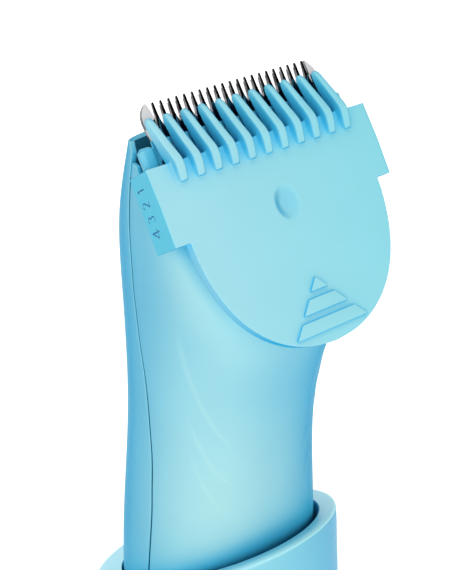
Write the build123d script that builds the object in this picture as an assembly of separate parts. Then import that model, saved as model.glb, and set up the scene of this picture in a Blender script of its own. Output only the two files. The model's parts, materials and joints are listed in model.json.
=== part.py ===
from build123d import *
import math
import os

# Body groomer standing in its charging cup.  Millimetres, +Z up.
# -Y is the comb side, +Y the button side, +X is right when facing the comb side.
# Origin: centre of the charging cup's underside, on the table.

os.makedirs("parts", exist_ok=True)

# ---------------------------------------------------------------- driving sizes
HEAD_TILT = 40.196     # cutting head from vertical, degrees
HEAD_Y = -9.7          # top edge of the comb plate
HEAD_Z = 157.0
WALL = 1.8             # casing wall
SEAM_GAP = 0.12        # gap at the casing parting lines
BODY_BOTTOM = 12.0     # underside of the docked groomer
CAP_TOP = 16.0
CONTACT_X = 6.0        # charge contacts, either side of centre
BUTTON_Z = 96.0
LENS_Z = 82.0
BATTERY_Y = -2.0
MOTOR_Y = -2.0
SHAFT_R = 1.0
TOOTH_PITCH = 1.45
SIDES = (-1, 1)        # left, right

# Head frame: u across, p up along the blade, w outward to the comb side.
SIN = math.sin(math.radians(HEAD_TILT))
COS = math.cos(math.radians(HEAD_TILT))
HEAD = Plane(origin=(0, HEAD_Y, HEAD_Z), x_dir=(1, 0, 0), z_dir=(0, -COS, SIN)).location


# ---------------------------------------------------------------------- helpers
def box(x0, x1, y0, y1, z0, z1):
    centre = Pos((x0 + x1) / 2, (y0 + y1) / 2, (z0 + z1) / 2)
    return centre * Box(abs(x1 - x0), abs(y1 - y0), abs(z1 - z0))


def mid_box(half, y0, y1, z0, z1):
    """Box centred on x = 0."""
    return box(-half, half, y0, y1, z0, z1)


def post(x, y, z0, z1, radius):
    """Cylinder along Z."""
    return Pos(x, y, (z0 + z1) / 2) * Cylinder(radius, abs(z1 - z0))


def peg(x, z, y0, y1, radius):
    """Cylinder along Y."""
    return Pos(x, (y0 + y1) / 2, z) * Rot(90, 0, 0) * Cylinder(radius, abs(y1 - y0))


def head_box(u0, u1, p0, p1, w0, w1):
    return HEAD * box(u0, u1, p0, p1, w0, w1)


def head_mid_box(half, p0, p1, w0, w1):
    return head_box(-half, half, p0, p1, w0, w1)


def head_post(u, p, w0, w1, radius):
    """Cylinder along the head normal."""
    return HEAD * post(u, p, w0, w1, radius)


def head_prism(outline, u0, u1):
    """(p, w) outline extruded across the head."""
    points = [Vector(u0, HEAD_Y + p * SIN - w * COS, HEAD_Z + p * COS + w * SIN)
              for p, w in outline]
    return extrude(make_face(Polyline(*points, close=True)), amount=u1 - u0, dir=(1, 0, 0))


def head_plate(outline, w0, thickness):
    """(u, p) outline thickened along the head normal."""
    points = [Vector(u, p, w0) for u, p in outline]
    face = make_face(Polyline(*points, close=True))
    return HEAD * extrude(face, amount=thickness, dir=(0, 0, 1))


def side_prism(outline, half):
    """(y, z) outline extruded across X, centred on x = 0."""
    points = [Vector(-half, y, z) for y, z in outline]
    return extrude(make_face(Polyline(*points, close=True)), amount=2 * half, dir=(1, 0, 0))


def wire(points, radius=0.55):
    path = Spline(*[Vector(*point) for point in points])
    return sweep(Plane(origin=path @ 0, z_dir=path % 0) * Circle(radius), path=path)


def mirrored(half_outline):
    """The same points in reverse order with the first coordinate negated."""
    return [(-a, b) for a, b in reversed(half_outline)]


def circles(shape, axis):
    """Circular edges, sorted along an axis."""
    return shape.edges().filter_by(GeomType.CIRCLE).sort_by(axis)


def save(name, *shapes):
    solids = [solid for shape in shapes for solid in shape.solids() if solid.volume > 1e-4]
    piece = solids[0] if len(solids) == 1 else Compound(children=solids)
    export_step(piece, "parts/" + name + ".step")


# ----------------------------------------------------------------- casing shape
# z, half width, front y, back y, superellipse exponent
SECTIONS = [
    (12.0, 20.95, -20.95, 20.95, 2.0),
    (27.0, 21.1, -21.1, 21.1, 2.0),
    (42.0, 20.95, -21.0, 20.95, 2.05),
    (62.0, 19.98, -19.97, 19.97, 2.15),
    (77.0, 18.93, -18.76, 19.07, 2.15),
    (92.0, 18.12, -17.95, 18.22, 2.15),
    (107.0, 18.14, -18.96, 17.71, 2.2),
    (122.0, 18.5, -21.9, 17.6, 2.35),
    (137.0, 19.1, -21.2, 14.1, 2.8),
    (149.0, 19.15, -14.1, 7.9, 3.3),
    (161.0, 18.8, -7.2, 1.6, 3.6),
]
LOFT_BOTTOM = 14.0
LOFT_TOP = SECTIONS[-1][0]
STATION_COUNT = 13
RING_POINTS = 28

# Parting line between front and rear casing (y, z), run past both ends
SEAM = [
    (-3.8, 5.0), (-3.8, 67.2), (-3.7, 75.5), (-3.4, 80.7), (-3.2, 85.9), (-3.0, 89.6),
    (-2.5, 95.8), (-2.1, 103.3), (-1.4, 110.1), (-0.3, 116.5), (0.2, 121.8), (0.6, 127.1),
    (0.5, 132.6), (0.4, 140.4), (-0.1, 145.9), (-0.6, 150.0), (-1.3, 154.0),
    (-2.5, 162.0), (-2.5, 175.0),
]
# Region above the casing rim (y, z); the rim falls towards the back
ABOVE_RIM = [(-40, 171.6), (0.3, 156.4), (4.2, 155.0), (30, 145.0), (30, 180), (-40, 180)]


def interpolate(column, z):
    """Cubic Hermite curve through one column of SECTIONS."""
    heights = [row[0] for row in SECTIONS]
    values = [row[column] for row in SECTIONS]
    last = len(heights) - 1

    def chord(j):
        return (values[j + 1] - values[j]) / (heights[j + 1] - heights[j])

    def slope(j):
        if j == 0:
            return chord(0)
        if j == last:
            return chord(last - 1)
        below = heights[j] - heights[j - 1]
        above = heights[j + 1] - heights[j]
        return (chord(j - 1) * above + chord(j) * below) / (below + above)

    i = min(last - 1, sum(1 for height in heights if height <= z) - 1)
    span = heights[i + 1] - heights[i]
    t = (z - heights[i]) / span
    return ((2 * t ** 3 - 3 * t ** 2 + 1) * values[i]
            + (t ** 3 - 2 * t ** 2 + t) * span * slope(i)
            + (-2 * t ** 3 + 3 * t ** 2) * values[i + 1]
            + (t ** 3 - t ** 2) * span * slope(i + 1))


def ring(z, half_width, front_y, back_y, exponent, inset):
    """Superellipse face at height z."""
    half_x = half_width - inset
    half_y = (back_y - front_y) / 2 - inset
    mid_y = (back_y + front_y) / 2
    points = []
    for i in range(RING_POINTS):
        angle = 2 * math.pi * i / RING_POINTS
        cos, sin = math.cos(angle), math.sin(angle)
        points.append(Vector(
            half_x * math.copysign(abs(cos) ** (2 / exponent), cos),
            mid_y + half_y * math.copysign(abs(sin) ** (2 / exponent), sin), z))
    return make_face(Spline(*points, periodic=True))


def casing_loft(stations, inset=0.0):
    return loft([ring(*station, inset=inset) for station in stations])


def side_of_seam(offset, far_y):
    """Everything between the seam, shifted by offset in y, and far_y."""
    seam = [(y + offset, z) for y, z in SEAM]
    return side_prism([(far_y, SEAM[0][1])] + seam + [(far_y, SEAM[-1][1])], 40)


STATIONS = []
for i in range(STATION_COUNT):
    z = LOFT_BOTTOM + (LOFT_TOP - LOFT_BOTTOM) * i / (STATION_COUNT - 1)
    STATIONS.append((z, *(interpolate(column, z) for column in range(1, 5))))
outer = casing_loft(STATIONS)
inner = casing_loft(STATIONS, WALL)

casing = outer & mid_box(40, -60, 60, CAP_TOP, 180)
above_rim = side_prism(ABOVE_RIM, 40)
HEAD_LOW_P = -4.2      # lower edge of the room cut for the blade head
PLATE_SEAT_W = -2.5    # flat of the casing under the comb plate
tube = casing - inner - above_rim - head_mid_box(40, HEAD_LOW_P, 40, -7.6, 40)


def guide_groove(side, p0, p1):
    """Cutter for the groove that takes the comb guard's guide lug."""
    return head_box(side * 19.0, side * 21, p0, p1, -5.96, -4.84)


# ------------------------------------------------------------------ front shell
CLICK_PITCH = 2.33     # comb length steps
BOSSES = [(side * 12.0, z) for z in (30.0, 86.0) for side in SIDES]
BOSS_END_Y = 6.3

front_half = side_of_seam(-SEAM_GAP / 2, -60)
front = (tube & front_half) - head_mid_box(40, -60, 60, PLATE_SEAT_W, 40)
face_wall = head_mid_box(17.6, -26, HEAD_LOW_P, -4.2, PLATE_SEAT_W)
front = front + ((casing & front_half & face_wall) - above_rim)
for side in SIDES:     # grooved side pads
    pad = head_box(side * 16.9, side * 19.8, -12.4, HEAD_LOW_P, -6.9, -2.6)
    front = front + (pad - guide_groove(side, -13, -4))
for i in range(2):     # click grooves under the comb plate
    groove_p = -9.0 + CLICK_PITCH * i
    front = front - head_mid_box(3, groove_p - 0.45, groove_p + 0.45, -2.85, -2.4)
for x, z in BOSSES:
    front = front + (peg(x, z, -16.5, BOSS_END_Y, 2.2) & inner)
for x, z in BOSSES:
    front = front - peg(x, z, BOSS_END_Y - 7.2, BOSS_END_Y + 1, 0.85)
save("front_shell", front)

# ------------------------------------------------------------------- rear shell
button_hole = peg(0, BUTTON_Z, 10, 30, 6.3)
rear = tube & side_of_seam(SEAM_GAP / 2, 60)
rear = rear - button_hole - peg(0, LENS_Z, 10, 30, 1.3)
button_collar = (peg(0, BUTTON_Z, 14.0, 18.5, 7.8) & outer) - button_hole
rear = rear + (button_collar & side_of_seam(1, 60))
save("rear_shell", rear)

# ------------------------------------------------- bottom cap, seal and contacts
PLUG_BORE_R = 17.2
CONTACT_R = 2.5

cap = post(0, 0, BODY_BOTTOM, CAP_TOP - SEAM_GAP, 20.97)
cap = fillet(circles(cap, Axis.Z)[0], 1.8)
plug = post(0, 0, CAP_TOP - 0.2, CAP_TOP + 4.0, 18.9)
plug = plug - post(0, 0, CAP_TOP - 0.2, CAP_TOP + 5, PLUG_BORE_R)
groove = post(0, 0, CAP_TOP + 1.2, CAP_TOP + 2.8, 20)
groove = groove - post(0, 0, CAP_TOP + 1.2, CAP_TOP + 2.8, 18.0)
cap = cap - post(0, 0, 13.6, 30, PLUG_BORE_R) + plug - groove
for side in SIDES:
    cap = cap - post(side * CONTACT_X, 0, 5, 30, CONTACT_R + 0.05)
save("bottom_cap", cap)

save("bottom_seal", post(0, 0, CAP_TOP + 1.3, CAP_TOP + 2.7, 19.05)
     - post(0, 0, CAP_TOP + 1.2, CAP_TOP + 2.8, 18.05))

save("charge_contacts", *[post(side * CONTACT_X, 0, BODY_BOTTOM + 0.05, 14.6, CONTACT_R)
                          for side in SIDES])

# ---------------------------------------------------------------------- chassis
CHASSIS_FRONT = 6.4
CHASSIS_BACK = 8.2
BULKHEAD_TOP = 133.8

chassis = mid_box(9.5, CHASSIS_FRONT, CHASSIS_BACK, 21.0, 129.0)
for z in (30.0, 86.0):                             # ears over the screw bosses
    for side in SIDES:
        chassis = chassis + box(side * 9.4, side * 14.4, CHASSIS_FRONT, CHASSIS_BACK,
                                z - 3.5, z + 3.5)
for z in (28.0, 64.0):                             # battery saddles
    saddle = mid_box(9, BATTERY_Y + 1.0, 6.6, z, z + 3)
    chassis = chassis + (saddle - post(0, BATTERY_Y, z - 1, z + 4, 7.25))
chassis = chassis + mid_box(9, -9, 6.6, 20.9, 22.6)    # battery shelf
motor_plate = mid_box(11.5, MOTOR_Y - 8.0, CHASSIS_BACK, 122.3, 124.3)
chassis = chassis + (motor_plate - post(0, MOTOR_Y, 120, 130, 3.2))
# bulkhead under the cutting chamber, open for the yoke arm
bulkhead = (casing_loft(STATIONS[8:12], WALL + 0.15)
            & mid_box(40, -40, 40, 132.2, BULKHEAD_TOP))
bulkhead = bulkhead - head_mid_box(30, -60, 20, -3.6, 60) - mid_box(3.4, -8.0, -2.2, 130, 136)
chassis = chassis + mid_box(9.5, CHASSIS_FRONT, CHASSIS_BACK, 129, BULKHEAD_TOP) + bulkhead
for x, z in BOSSES:
    chassis = chassis - peg(x, z, 5, 10, 1.15)
chassis = chassis - mid_box(2.5, 5.5, 9, 46, 58)
save("inner_chassis", chassis)


def chassis_screw(x, z):
    """Cross-slotted screw with its head towards +Y."""
    screw = peg(x, z, BOSS_END_Y - 6.6, 8.3, 0.8) + peg(x, z, 8.25, 9.5, 1.9)
    return (screw - box(x - 1.2, x + 1.2, 9.1, 10, z - 0.2, z + 0.2)
            - box(x - 0.2, x + 0.2, 9.1, 10, z - 1.2, z + 1.2))


save("chassis_screws", *[chassis_screw(x, z) for x, z in BOSSES])

# ---------------------------------------------------------------------- battery
cell = post(0, BATTERY_Y, 23.2, 73.0, 7.1)
cell = fillet(circles(cell, Axis.Z), 0.6) + post(0, BATTERY_Y, 72.5, 73.9, 2.6)
save("battery_cell", cell)

save("battery_tabs",
     mid_box(2.5, BATTERY_Y - 2.5, BATTERY_Y + 6.5, 74.0, 74.25),
     mid_box(2.5, BATTERY_Y - 2.5, BATTERY_Y + 7.2, 22.75, 23.1))

# --------------------------------------------------------- board, switch, light
BOARD_HALF = 8.5
BOARD_FRONT = 9.9
BOARD_BACK = 11.1
CHIP_Y = BOARD_BACK + 0.05    # front face of the parts on the board

save("circuit_board", mid_box(BOARD_HALF, BOARD_FRONT, BOARD_BACK, 36.0, 106.0))

save("board_spacers", *[
    box(side * BOARD_HALF, side * 6.6, CHASSIS_BACK + 0.05, BOARD_FRONT - 0.05, z, z + 2)
    for z in (44, 100) for side in SIDES])

save("board_chips",
     box(-3, 3, CHIP_Y, 12.4, 52, 58),
     box(-6, -2.5, CHIP_Y, 12.2, 64, 70),
     box(2.5, 5.5, CHIP_Y, 12.6, 66, 70),
     box(-1.2, 1.2, CHIP_Y, 12.0, LENS_Z - 0.9, LENS_Z + 0.9))

save("tact_switch", mid_box(3, CHIP_Y, 13.6, BUTTON_Z - 3, BUTTON_Z + 3))

save("status_lens", peg(0, LENS_Z, 13.0, 18.45, 1.2) + peg(0, LENS_Z, 12.4, 13.6, 2.0))

# ----------------------------------------------------------------- power button
button = peg(0, BUTTON_Z, 16.1, 18.7, 6.1)
button = fillet(circles(button, Axis.Y)[-1], 0.7)
save("power_button", button + peg(0, BUTTON_Z, 14.35, 16.2, 1.6))

save("button_seal", peg(0, BUTTON_Z, 14.25, 15.2, 6.2) - peg(0, BUTTON_Z, 14, 16, 2.0))

# ------------------------------------------------------------------------ motor
MAGNET_R = 8.8
ARMATURE_R = 6.6
SHAFT_HOLE_R = SHAFT_R + 0.05


def motor_post(z0, z1, radius):
    return post(0, MOTOR_Y, z0, z1, radius)


def motor_flats(half):
    """Block that trims a motor part flat, front and back."""
    return mid_box(12, MOTOR_Y - half, MOTOR_Y + half, 90, 125)


can = (motor_post(93.5, 120.0, 10.05) & motor_flats(7.55))
can = can - motor_post(90, 118.8, MAGNET_R + 0.1)
can = can + motor_post(118.8, 122.2, 3.0) - motor_post(117, 123, SHAFT_HOLE_R)
save("motor_can", can)

save("motor_magnets", (motor_post(96, 117, MAGNET_R) - motor_post(95, 118, ARMATURE_R + 0.3))
     & motor_flats(6.4))

save("motor_endcap", (motor_post(90.6, 93.4, 10.0) & motor_flats(7.5))
     - motor_post(91.6, 94, SHAFT_HOLE_R))

save("motor_shaft", motor_post(91.8, 127.4, SHAFT_R))

armature = motor_post(98, 115, ARMATURE_R) - motor_post(97, 116, SHAFT_R)
for i in range(3):     # radial slots
    turn = Pos(0, MOTOR_Y, 0) * Rot(0, 0, 120 * i)
    armature = armature - turn * Pos(5.2, 0, 106.5) * Box(3.4, 1.4, 20)
save("motor_armature", armature)

# -------------------------------------------------------- eccentric cam and yoke
ECCENTRICITY = 1.0
CAM_PIN_R = 1.0
YOKE_TRAVEL = 1.0
YOKE_SLOT_HALF = CAM_PIN_R + ECCENTRICITY + YOKE_TRAVEL + 0.08
YOKE_TIP_R = 0.9

cam = (motor_post(124.6, 128.0, 4.2) + post(ECCENTRICITY, MOTOR_Y, 127.9, 131.6, CAM_PIN_R)
       - motor_post(124, 127.45, SHAFT_R))
save("eccentric_cam", cam)

# slotted plate round the cam pin, arm up to the blade, tip along the head normal
yoke = mid_box(5.4, -6.0, 2.6, 129.0, 131.4)
yoke = yoke - mid_box(YOKE_SLOT_HALF, MOTOR_Y - 2.2, MOTOR_Y + 2.2, 128, 132)
yoke = yoke + mid_box(1.5, -5.9, -4.4, 131.3, 153.2) + mid_box(1.5, -5.9, -3.9, 149.5, 153.2)
yoke = yoke + head_post(0, 0, -7.0, -4.37, YOKE_TIP_R)
save("drive_yoke", yoke)

save("drive_gasket", mid_box(5.0, -8.6, -1.6, 133.9, 134.7)
     - mid_box(2.7, -6.1, -4.2, 133, 136))

# --------------------------------------------------------------- blade carrier
CARRIER_LOW_P = -4.0
CARRIER_BACK_W = -7.4
CARRIER_FRONT_W = -3.0
SCREW_U, SCREW_P = 15.75, -1.3

carrier = head_mid_box(16.7, CARRIER_LOW_P, 4.35, -3.6, CARRIER_FRONT_W)    # front lip
for side in SIDES:
    block = head_box(side * 16.75, side * 19.8, CARRIER_LOW_P, 3.7,
                     CARRIER_BACK_W, CARRIER_FRONT_W)
    carrier = carrier + (block - guide_groove(side, -5, -1.0))
carrier = carrier + head_mid_box(16.8, CARRIER_LOW_P, -2.6, CARRIER_BACK_W, CARRIER_FRONT_W)
for side in SIDES:     # spring seat, screw lug
    carrier = carrier + head_box(side * 3.4, side * 16.8, -2.7, 1.2, CARRIER_BACK_W, -6.3)
    carrier = carrier + head_box(side * 14.9, side * 16.9, -2.7, 0.2, -5.2, -4.27)
carrier = carrier - head_mid_box(3.2, -5, 2, -8, -4.22)    # open slot for the yoke
for side in SIDES:     # screw hole and counterbore
    carrier = carrier - head_post(side * SCREW_U, SCREW_P, -9, -3.1, 0.65)
    carrier = carrier - head_post(side * SCREW_U, SCREW_P, -9, -5.2, 1.15)
for i in range(-11, 12):    # fine flutes on the lip
    flute_u = i * TOOTH_PITCH
    carrier = carrier - head_box(flute_u - 0.12, flute_u + 0.12, 0.3, 5, -3.06, -2.9)
save("blade_carrier", carrier)


# ------------------------------------------------------------------------ blades
def toothed_blade(half, low_p, end, count, root_p, tip_p, root_half, tip_half, w0, w1):
    """Toothed plate; end lists its (u, p) points at +u, from the base to the tooth roots."""
    half_tooth = [(root_half, root_p), (tip_half + 0.12, tip_p - 1.1), (tip_half * 0.6, tip_p)]
    outline = [(-half, low_p), (half, low_p)] + end
    for i in range(count - 1, -1, -1):
        tooth_u = (i - (count - 1) / 2) * TOOTH_PITCH
        outline += [(tooth_u + du, p) for du, p in half_tooth + mirrored(half_tooth)]
    return head_plate(outline + mirrored(end), w0, w1 - w0)


FIXED_HALF = 16.6
FIXED_ROOT_P = 6.4
HORN_INNER_U = 15.45   # inner side of the wide end tooth
FIXED_END = [
    (FIXED_HALF + 0.05, 3.9), (FIXED_HALF + 0.25, 5.0), (FIXED_HALF + 0.15, 7.4),
    (FIXED_HALF - 0.35, 9.1), (FIXED_HALF - 0.95, 9.85), (HORN_INNER_U + 0.2, 10.1),
    (HORN_INNER_U - 0.1, 8.6), (HORN_INNER_U - 0.22, FIXED_ROOT_P),
]
fixed_blade = toothed_blade(
    half=FIXED_HALF, low_p=-2.4, end=FIXED_END, count=21, root_p=FIXED_ROOT_P, tip_p=10.12,
    root_half=0.43, tip_half=0.12, w0=-4.25, w1=-3.65)
for side in SIDES:
    fixed_blade = fixed_blade - head_post(side * SCREW_U, SCREW_P, -5, -3, 0.65)
save("fixed_blade", fixed_blade)

MOVING_HALF = 13.55
MOVING_ROOT_P = 6.0
moving_blade = toothed_blade(
    half=MOVING_HALF, low_p=-1.9, end=[(MOVING_HALF, MOVING_ROOT_P)], count=19,
    root_p=MOVING_ROOT_P, tip_p=9.55, root_half=0.45, tip_half=0.16, w0=-4.84, w1=-4.29)
moving_blade = (moving_blade - head_mid_box(0.95, -3, 0.0, -6, -3)
                - head_post(0, 0, -6, -3, YOKE_TIP_R + 0.05))
save("moving_blade", moving_blade)

# Leaf spring section (p, w)
LEAF = [(-1.5, -6.25), (0.9, -6.25), (0.9, -6.05), (-1.0, -6.05), (-1.0, -5.6),
        (0.6, -5.1), (0.6, -4.89), (0.2, -4.89), (-1.5, -5.45)]
save("blade_springs", head_prism(LEAF, -13.0, -4.0), head_prism(LEAF, 4.0, 13.0))

save("blade_screws", *[head_post(side * SCREW_U, SCREW_P, -6.2, -5.22, 1.1)
                       + head_post(side * SCREW_U, SCREW_P, -5.3, -3.15, 0.6)
                       for side in SIDES])

# ------------------------------------------------------------------- comb guard
PLATE_T = 2.1
PLATE_HALF = 21.17     # half width over the flanges
PLATE_LOW_P = -12.6    # where the wide plate steps in to the lobe
FLANGE_T = 1.1
FLANGE_DEPTH = 7.1
FLANGE_LENGTH = 12.54
RIB_PITCH = 3.19
RIB_COUNT = 11
RIB_T = 1.5
# Right half of the lobe's edge (u, p), down to its lowest point
HALF_LOBE = [
    (18.45, PLATE_LOW_P), (18.25, -15.4), (17.75, -18.9), (16.5, -23.3), (14.3, -27.6),
    (11.1, -31.0), (7.6, -33.3), (4.0, -34.5), (0.0, -34.9),
]
# Rib section (p, w)
RIB = [
    (-4.3, -0.6), (-4.2, 0.7), (-3.9, 1.0), (-3.0, 1.12), (0.1, 1.3), (3.7, -0.35),
    (6.4, -1.55), (7.5, -2.0), (7.75, -2.3), (7.6, -2.58), (7.2, -2.6), (4.2, -2.3),
    (0.3, -1.88), (-0.4, -1.2),
]
# Raised grip marks (u, p): a triangle over two widening bars
MARKS = [
    [(0, -24.23), (-1.67, -26.16), (1.67, -26.16)],
    [(-2.55, -27.28), (-4.34, -29.48), (4.34, -29.48), (2.55, -27.28)],
    [(-5.27, -30.62), (-7.06, -32.75), (7.06, -32.75), (5.27, -30.62)],
]

lobe = HALF_LOBE + mirrored(HALF_LOBE[:-1])
plate_edge = Polyline(lobe[-1], (-PLATE_HALF, PLATE_LOW_P), (-PLATE_HALF, 0),
                      (PLATE_HALF, 0), (PLATE_HALF, PLATE_LOW_P), lobe[0])
plate_face = make_face([plate_edge, Spline(*lobe)])
guard = HEAD * Pos(0, 0, -PLATE_T) * extrude(plate_face, amount=PLATE_T, dir=(0, 0, 1))
for side in SIDES:     # flange, guide lug
    guard = guard + head_box(side * (PLATE_HALF - FLANGE_T), side * PLATE_HALF,
                             -FLANGE_LENGTH, 0, -FLANGE_DEPTH, -0.5)
    guard = guard + head_box(side * 19.05, side * (PLATE_HALF - 0.5), -12.2, -8.2, -5.9, -4.9)
for i in range(RIB_COUNT):
    rib_u = (i - (RIB_COUNT - 1) / 2) * RIB_PITCH
    guard = guard + head_prism(RIB, rib_u - RIB_T / 2, rib_u + RIB_T / 2)
guard = guard - HEAD * Pos(0, -11.58, 3.2) * Sphere(4.0)    # thumb dimple
for mark in MARKS:
    guard = guard + head_plate(mark, -0.2, 0.65)
guard = guard + head_mid_box(2.4, -9.3, -8.7, -2.3, -2.0)   # click bump
save("comb_guard", guard)

# ----------------------------------------------------------------------- wiring
save("battery_wires",
     wire([(-3.2, BATTERY_Y - 0.5, 75.1), (-7.6, 1.5, 77.4), (-10.6, 7.6, 76.6),
           (-10.6, 11.2, 73.4), (-7.4, 12.2, 71.8)]),
     wire([(1.5, 5.75, 24.2), (5.0, 5.6, 24.2), (8.5, 5.4, 24.2), (10.7, 6.1, 24.3),
           (11.4, 8.2, 24.6), (11.2, 10.4, 27.0), (10.4, 12.2, 36.0), (8.6, 12.7, 50.0),
           (6.0, 12.4, 61.8)]))

save("motor_wires",
     wire([(7.5, -1.0, 89.9), (8.2, 2.0, 85.5), (9.2, 4.4, 80.5), (10.7, 7.4, 78.2),
           (10.2, 10.8, 77.0), (7.0, 12.3, 76.0)]),
     wire([(-7.5, -1.0, 89.9), (-8.2, 2.0, 86.0), (-9.2, 4.4, 81.4), (-10.7, 7.4, 79.8),
           (-10.2, 10.8, 79.5), (-7.0, 12.3, 79.4)]))

save("charge_wires",
     wire([(CONTACT_X, 0, 15.2), (9.0, 2.0, 17.4), (12.6, 8.0, 20.5), (10.5, 12.6, 26.0),
           (6.6, 12.7, 34.0), (6.0, 12.3, 37.2)]),
     wire([(-CONTACT_X, 0, 15.2), (-8.0, 5.0, 17.2), (-8.8, 11.0, 24.0),
           (-8.0, 12.6, 38.0), (-5.6, 12.4, 43.0)]))

# ---------------------------------------------------------------- stand housing
CUP_R = 21.45          # bore of the charging cup
CUP_WALL = 1.8
CUP_FLOOR = 9.6        # underside of the cup floor
STAND_WALL = 2.0
STAND_BOTTOM = 3.0
RIM_Z = 52.6           # rim height on the axis
RIM_SLOPE = math.tan(math.radians(39.8))
STAND_SCREWS = [(0, -26.2), (-22.69, 13.1), (22.69, 13.1)]
# Outer wall (radius, z), bottom to top
STAND_PROFILE = [
    (33.0, 5.0), (32.4, 6.6), (31.0, 11.0), (29.5, 18.0), (28.1, 29.0), (26.95, 42.0),
    (25.9, 56.0), (25.4, 62.7), (24.6, 76.0),
]


def in_xz(points):
    return [Vector(radius, 0, z) for radius, z in points]


def above_stand_rim(z):
    """Region above a plane at height z on the axis, falling towards +Y."""
    return side_prism([(-60, z + 60 * RIM_SLOPE), (60, z - 60 * RIM_SLOPE),
                       (60, 140), (-60, 140)], 60)


foot, top = STAND_PROFILE[0], STAND_PROFILE[-1]
stand_outer = revolve(make_face([
    Polyline(*in_xz([(0, top[1]), (0, STAND_BOTTOM), (foot[0], STAND_BOTTOM), foot])),
    Spline(*in_xz(STAND_PROFILE)),
    Polyline(*in_xz([top, (0, top[1])]))]), axis=Axis.Z)

# hollow between the outer wall and the cup, and below the cup floor
hollow = [(radius - STAND_WALL, z - 0.6) for radius, z in STAND_PROFILE[:-2]]
foot, top = hollow[0], hollow[-1]
cup_outer_r = CUP_R + CUP_WALL
stand_cavity = revolve(make_face([
    Polyline(*in_xz([top, (cup_outer_r, top[1]), (cup_outer_r, CUP_FLOOR), (0, CUP_FLOOR),
                     (0, 2.0), (foot[0], 2.0), foot])),
    Spline(*in_xz(hollow))]), axis=Axis.Z)

housing = (stand_outer - (stand_cavity - above_stand_rim(RIM_Z - 2.2))
           - post(0, 0, BODY_BOTTOM - 0.06, 90, CUP_R) - above_stand_rim(RIM_Z))
for side in SIDES:     # contact pin holes
    housing = housing - post(side * CONTACT_X, 0, 5, 20, 1.6)
housing = housing - mid_box(4.7, 26, 45, 4.1, 7.6)    # socket window in the back wall
for x, y in STAND_SCREWS:
    boss = post(x, y, 4.3, 24.0, 2.6) & stand_outer
    housing = housing + boss - post(x, y, 2.0, 12.0, 0.95)
save("stand_housing", housing)

# ------------------------------------------------- stand base, feet, weight, screws
FEET = [(26.0 * math.cos(math.radians(angle)), 26.0 * math.sin(math.radians(angle)))
        for angle in (-35, 57, 123, 215)]
FOOT_R = 4.5

base = post(0, 0, 1.0, 2.95, 32.6) + (post(0, 0, 2.9, 4.2, 30.8) - post(0, 0, 2.5, 5, 29.7))
for x, y in STAND_SCREWS:
    base = base - post(x, y, -1, 2.2, 2.3) - post(x, y, 0, 6, 1.25)
for x, y in FEET:
    base = base - post(x, y, 0, 1.6, FOOT_R + 0.1)
save("stand_base", base - mid_box(7.2, 18, 40, 2.96, 8))

save("stand_feet", *[post(x, y, 0.0, 1.55, FOOT_R) for x, y in FEET])

save("stand_weight", post(0, 0, 3.1, 7.6, 22.6) - post(0, 0, 2, 9, 13.2)
     - mid_box(7.4, 5, 30, 3.0, 9))


def stand_screw(x, y):
    """Slotted screw with its head down."""
    return (post(x, y, 2.25, 11.4, 0.9) + post(x, y, 1.15, 2.18, 2.1)
            - box(x - 1.4, x + 1.4, y - 0.25, y + 0.25, 1.0, 1.5)
            + post(x, y, 2.1, 2.3, 0.9))


save("stand_screws", *[stand_screw(x, y) for x, y in STAND_SCREWS])

# ------------------------------------------------------------ stand electronics
save("contact_board", mid_box(9.5, -6.5, 6.5, 3.2, 4.4))
save("socket_board", mid_box(7.0, 18.6, 29.0, 3.1, 4.15))


def round_along_y(shape, radius):
    return fillet(shape.edges().filter_by(Axis.Y), radius)


# rounded sleeve open to the back, with a tongue inside
socket = round_along_y(mid_box(4.45, 22.6, 31.9, 4.25, 7.45), 1.5)
socket = socket - round_along_y(mid_box(4.1, 23.6, 33, 4.6, 7.1), 1.2)
save("usb_socket", socket + mid_box(3.3, 23.4, 31.1, 5.5, 6.2))

# spring contact pins, one each side
for side, side_name in zip(SIDES, ("left", "right")):
    x = side * CONTACT_X
    pin = post(x, 0, 7.2, BODY_BOTTOM, 0.9)
    pin = fillet(circles(pin, Axis.Z)[-1], 0.6) + post(x, 0, 7.2, 8.0, 1.25)
    save("contact_pin_" + side_name, pin)

    save("pin_barrel_" + side_name, post(x, 0, 4.45, 8.75, 1.9) - post(x, 0, 5.0, 9, 1.35))

    coil = Helix(pitch=0.5, height=1.9, radius=0.85, center=(x, 0, 5.13))
    coil_section = Plane(origin=coil @ 0, z_dir=coil % 0) * Circle(0.11)
    save("pin_spring_" + side_name, sweep(coil_section, path=coil, is_frenet=True))

STAND_WIRE = [(3.0, 6.9, 5.2), (3.6, 10.0, 8.0), (4.0, 13.0, 8.2), (4.6, 17.0, 7.2),
              (4.9, 19.4, 4.9)]
save("stand_wires", *[wire([(side * x, y, z) for x, y, z in STAND_WIRE], radius=0.45)
                      for side in (1, -1)])
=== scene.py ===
# A handheld groomer with a comb guard over its blades, standing in a round charging stand.
# Row frame: z up, the stand's axis on z, x across, the front facing -y.
# Head frame: across (= x), up along the blades, out of the blade face (towards -y and +z).
# Shapes are worked out in millimetres and stored in metres.
import json
import math

import bmesh
import bpy
import numpy as np
from mathutils import Matrix, Vector


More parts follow.
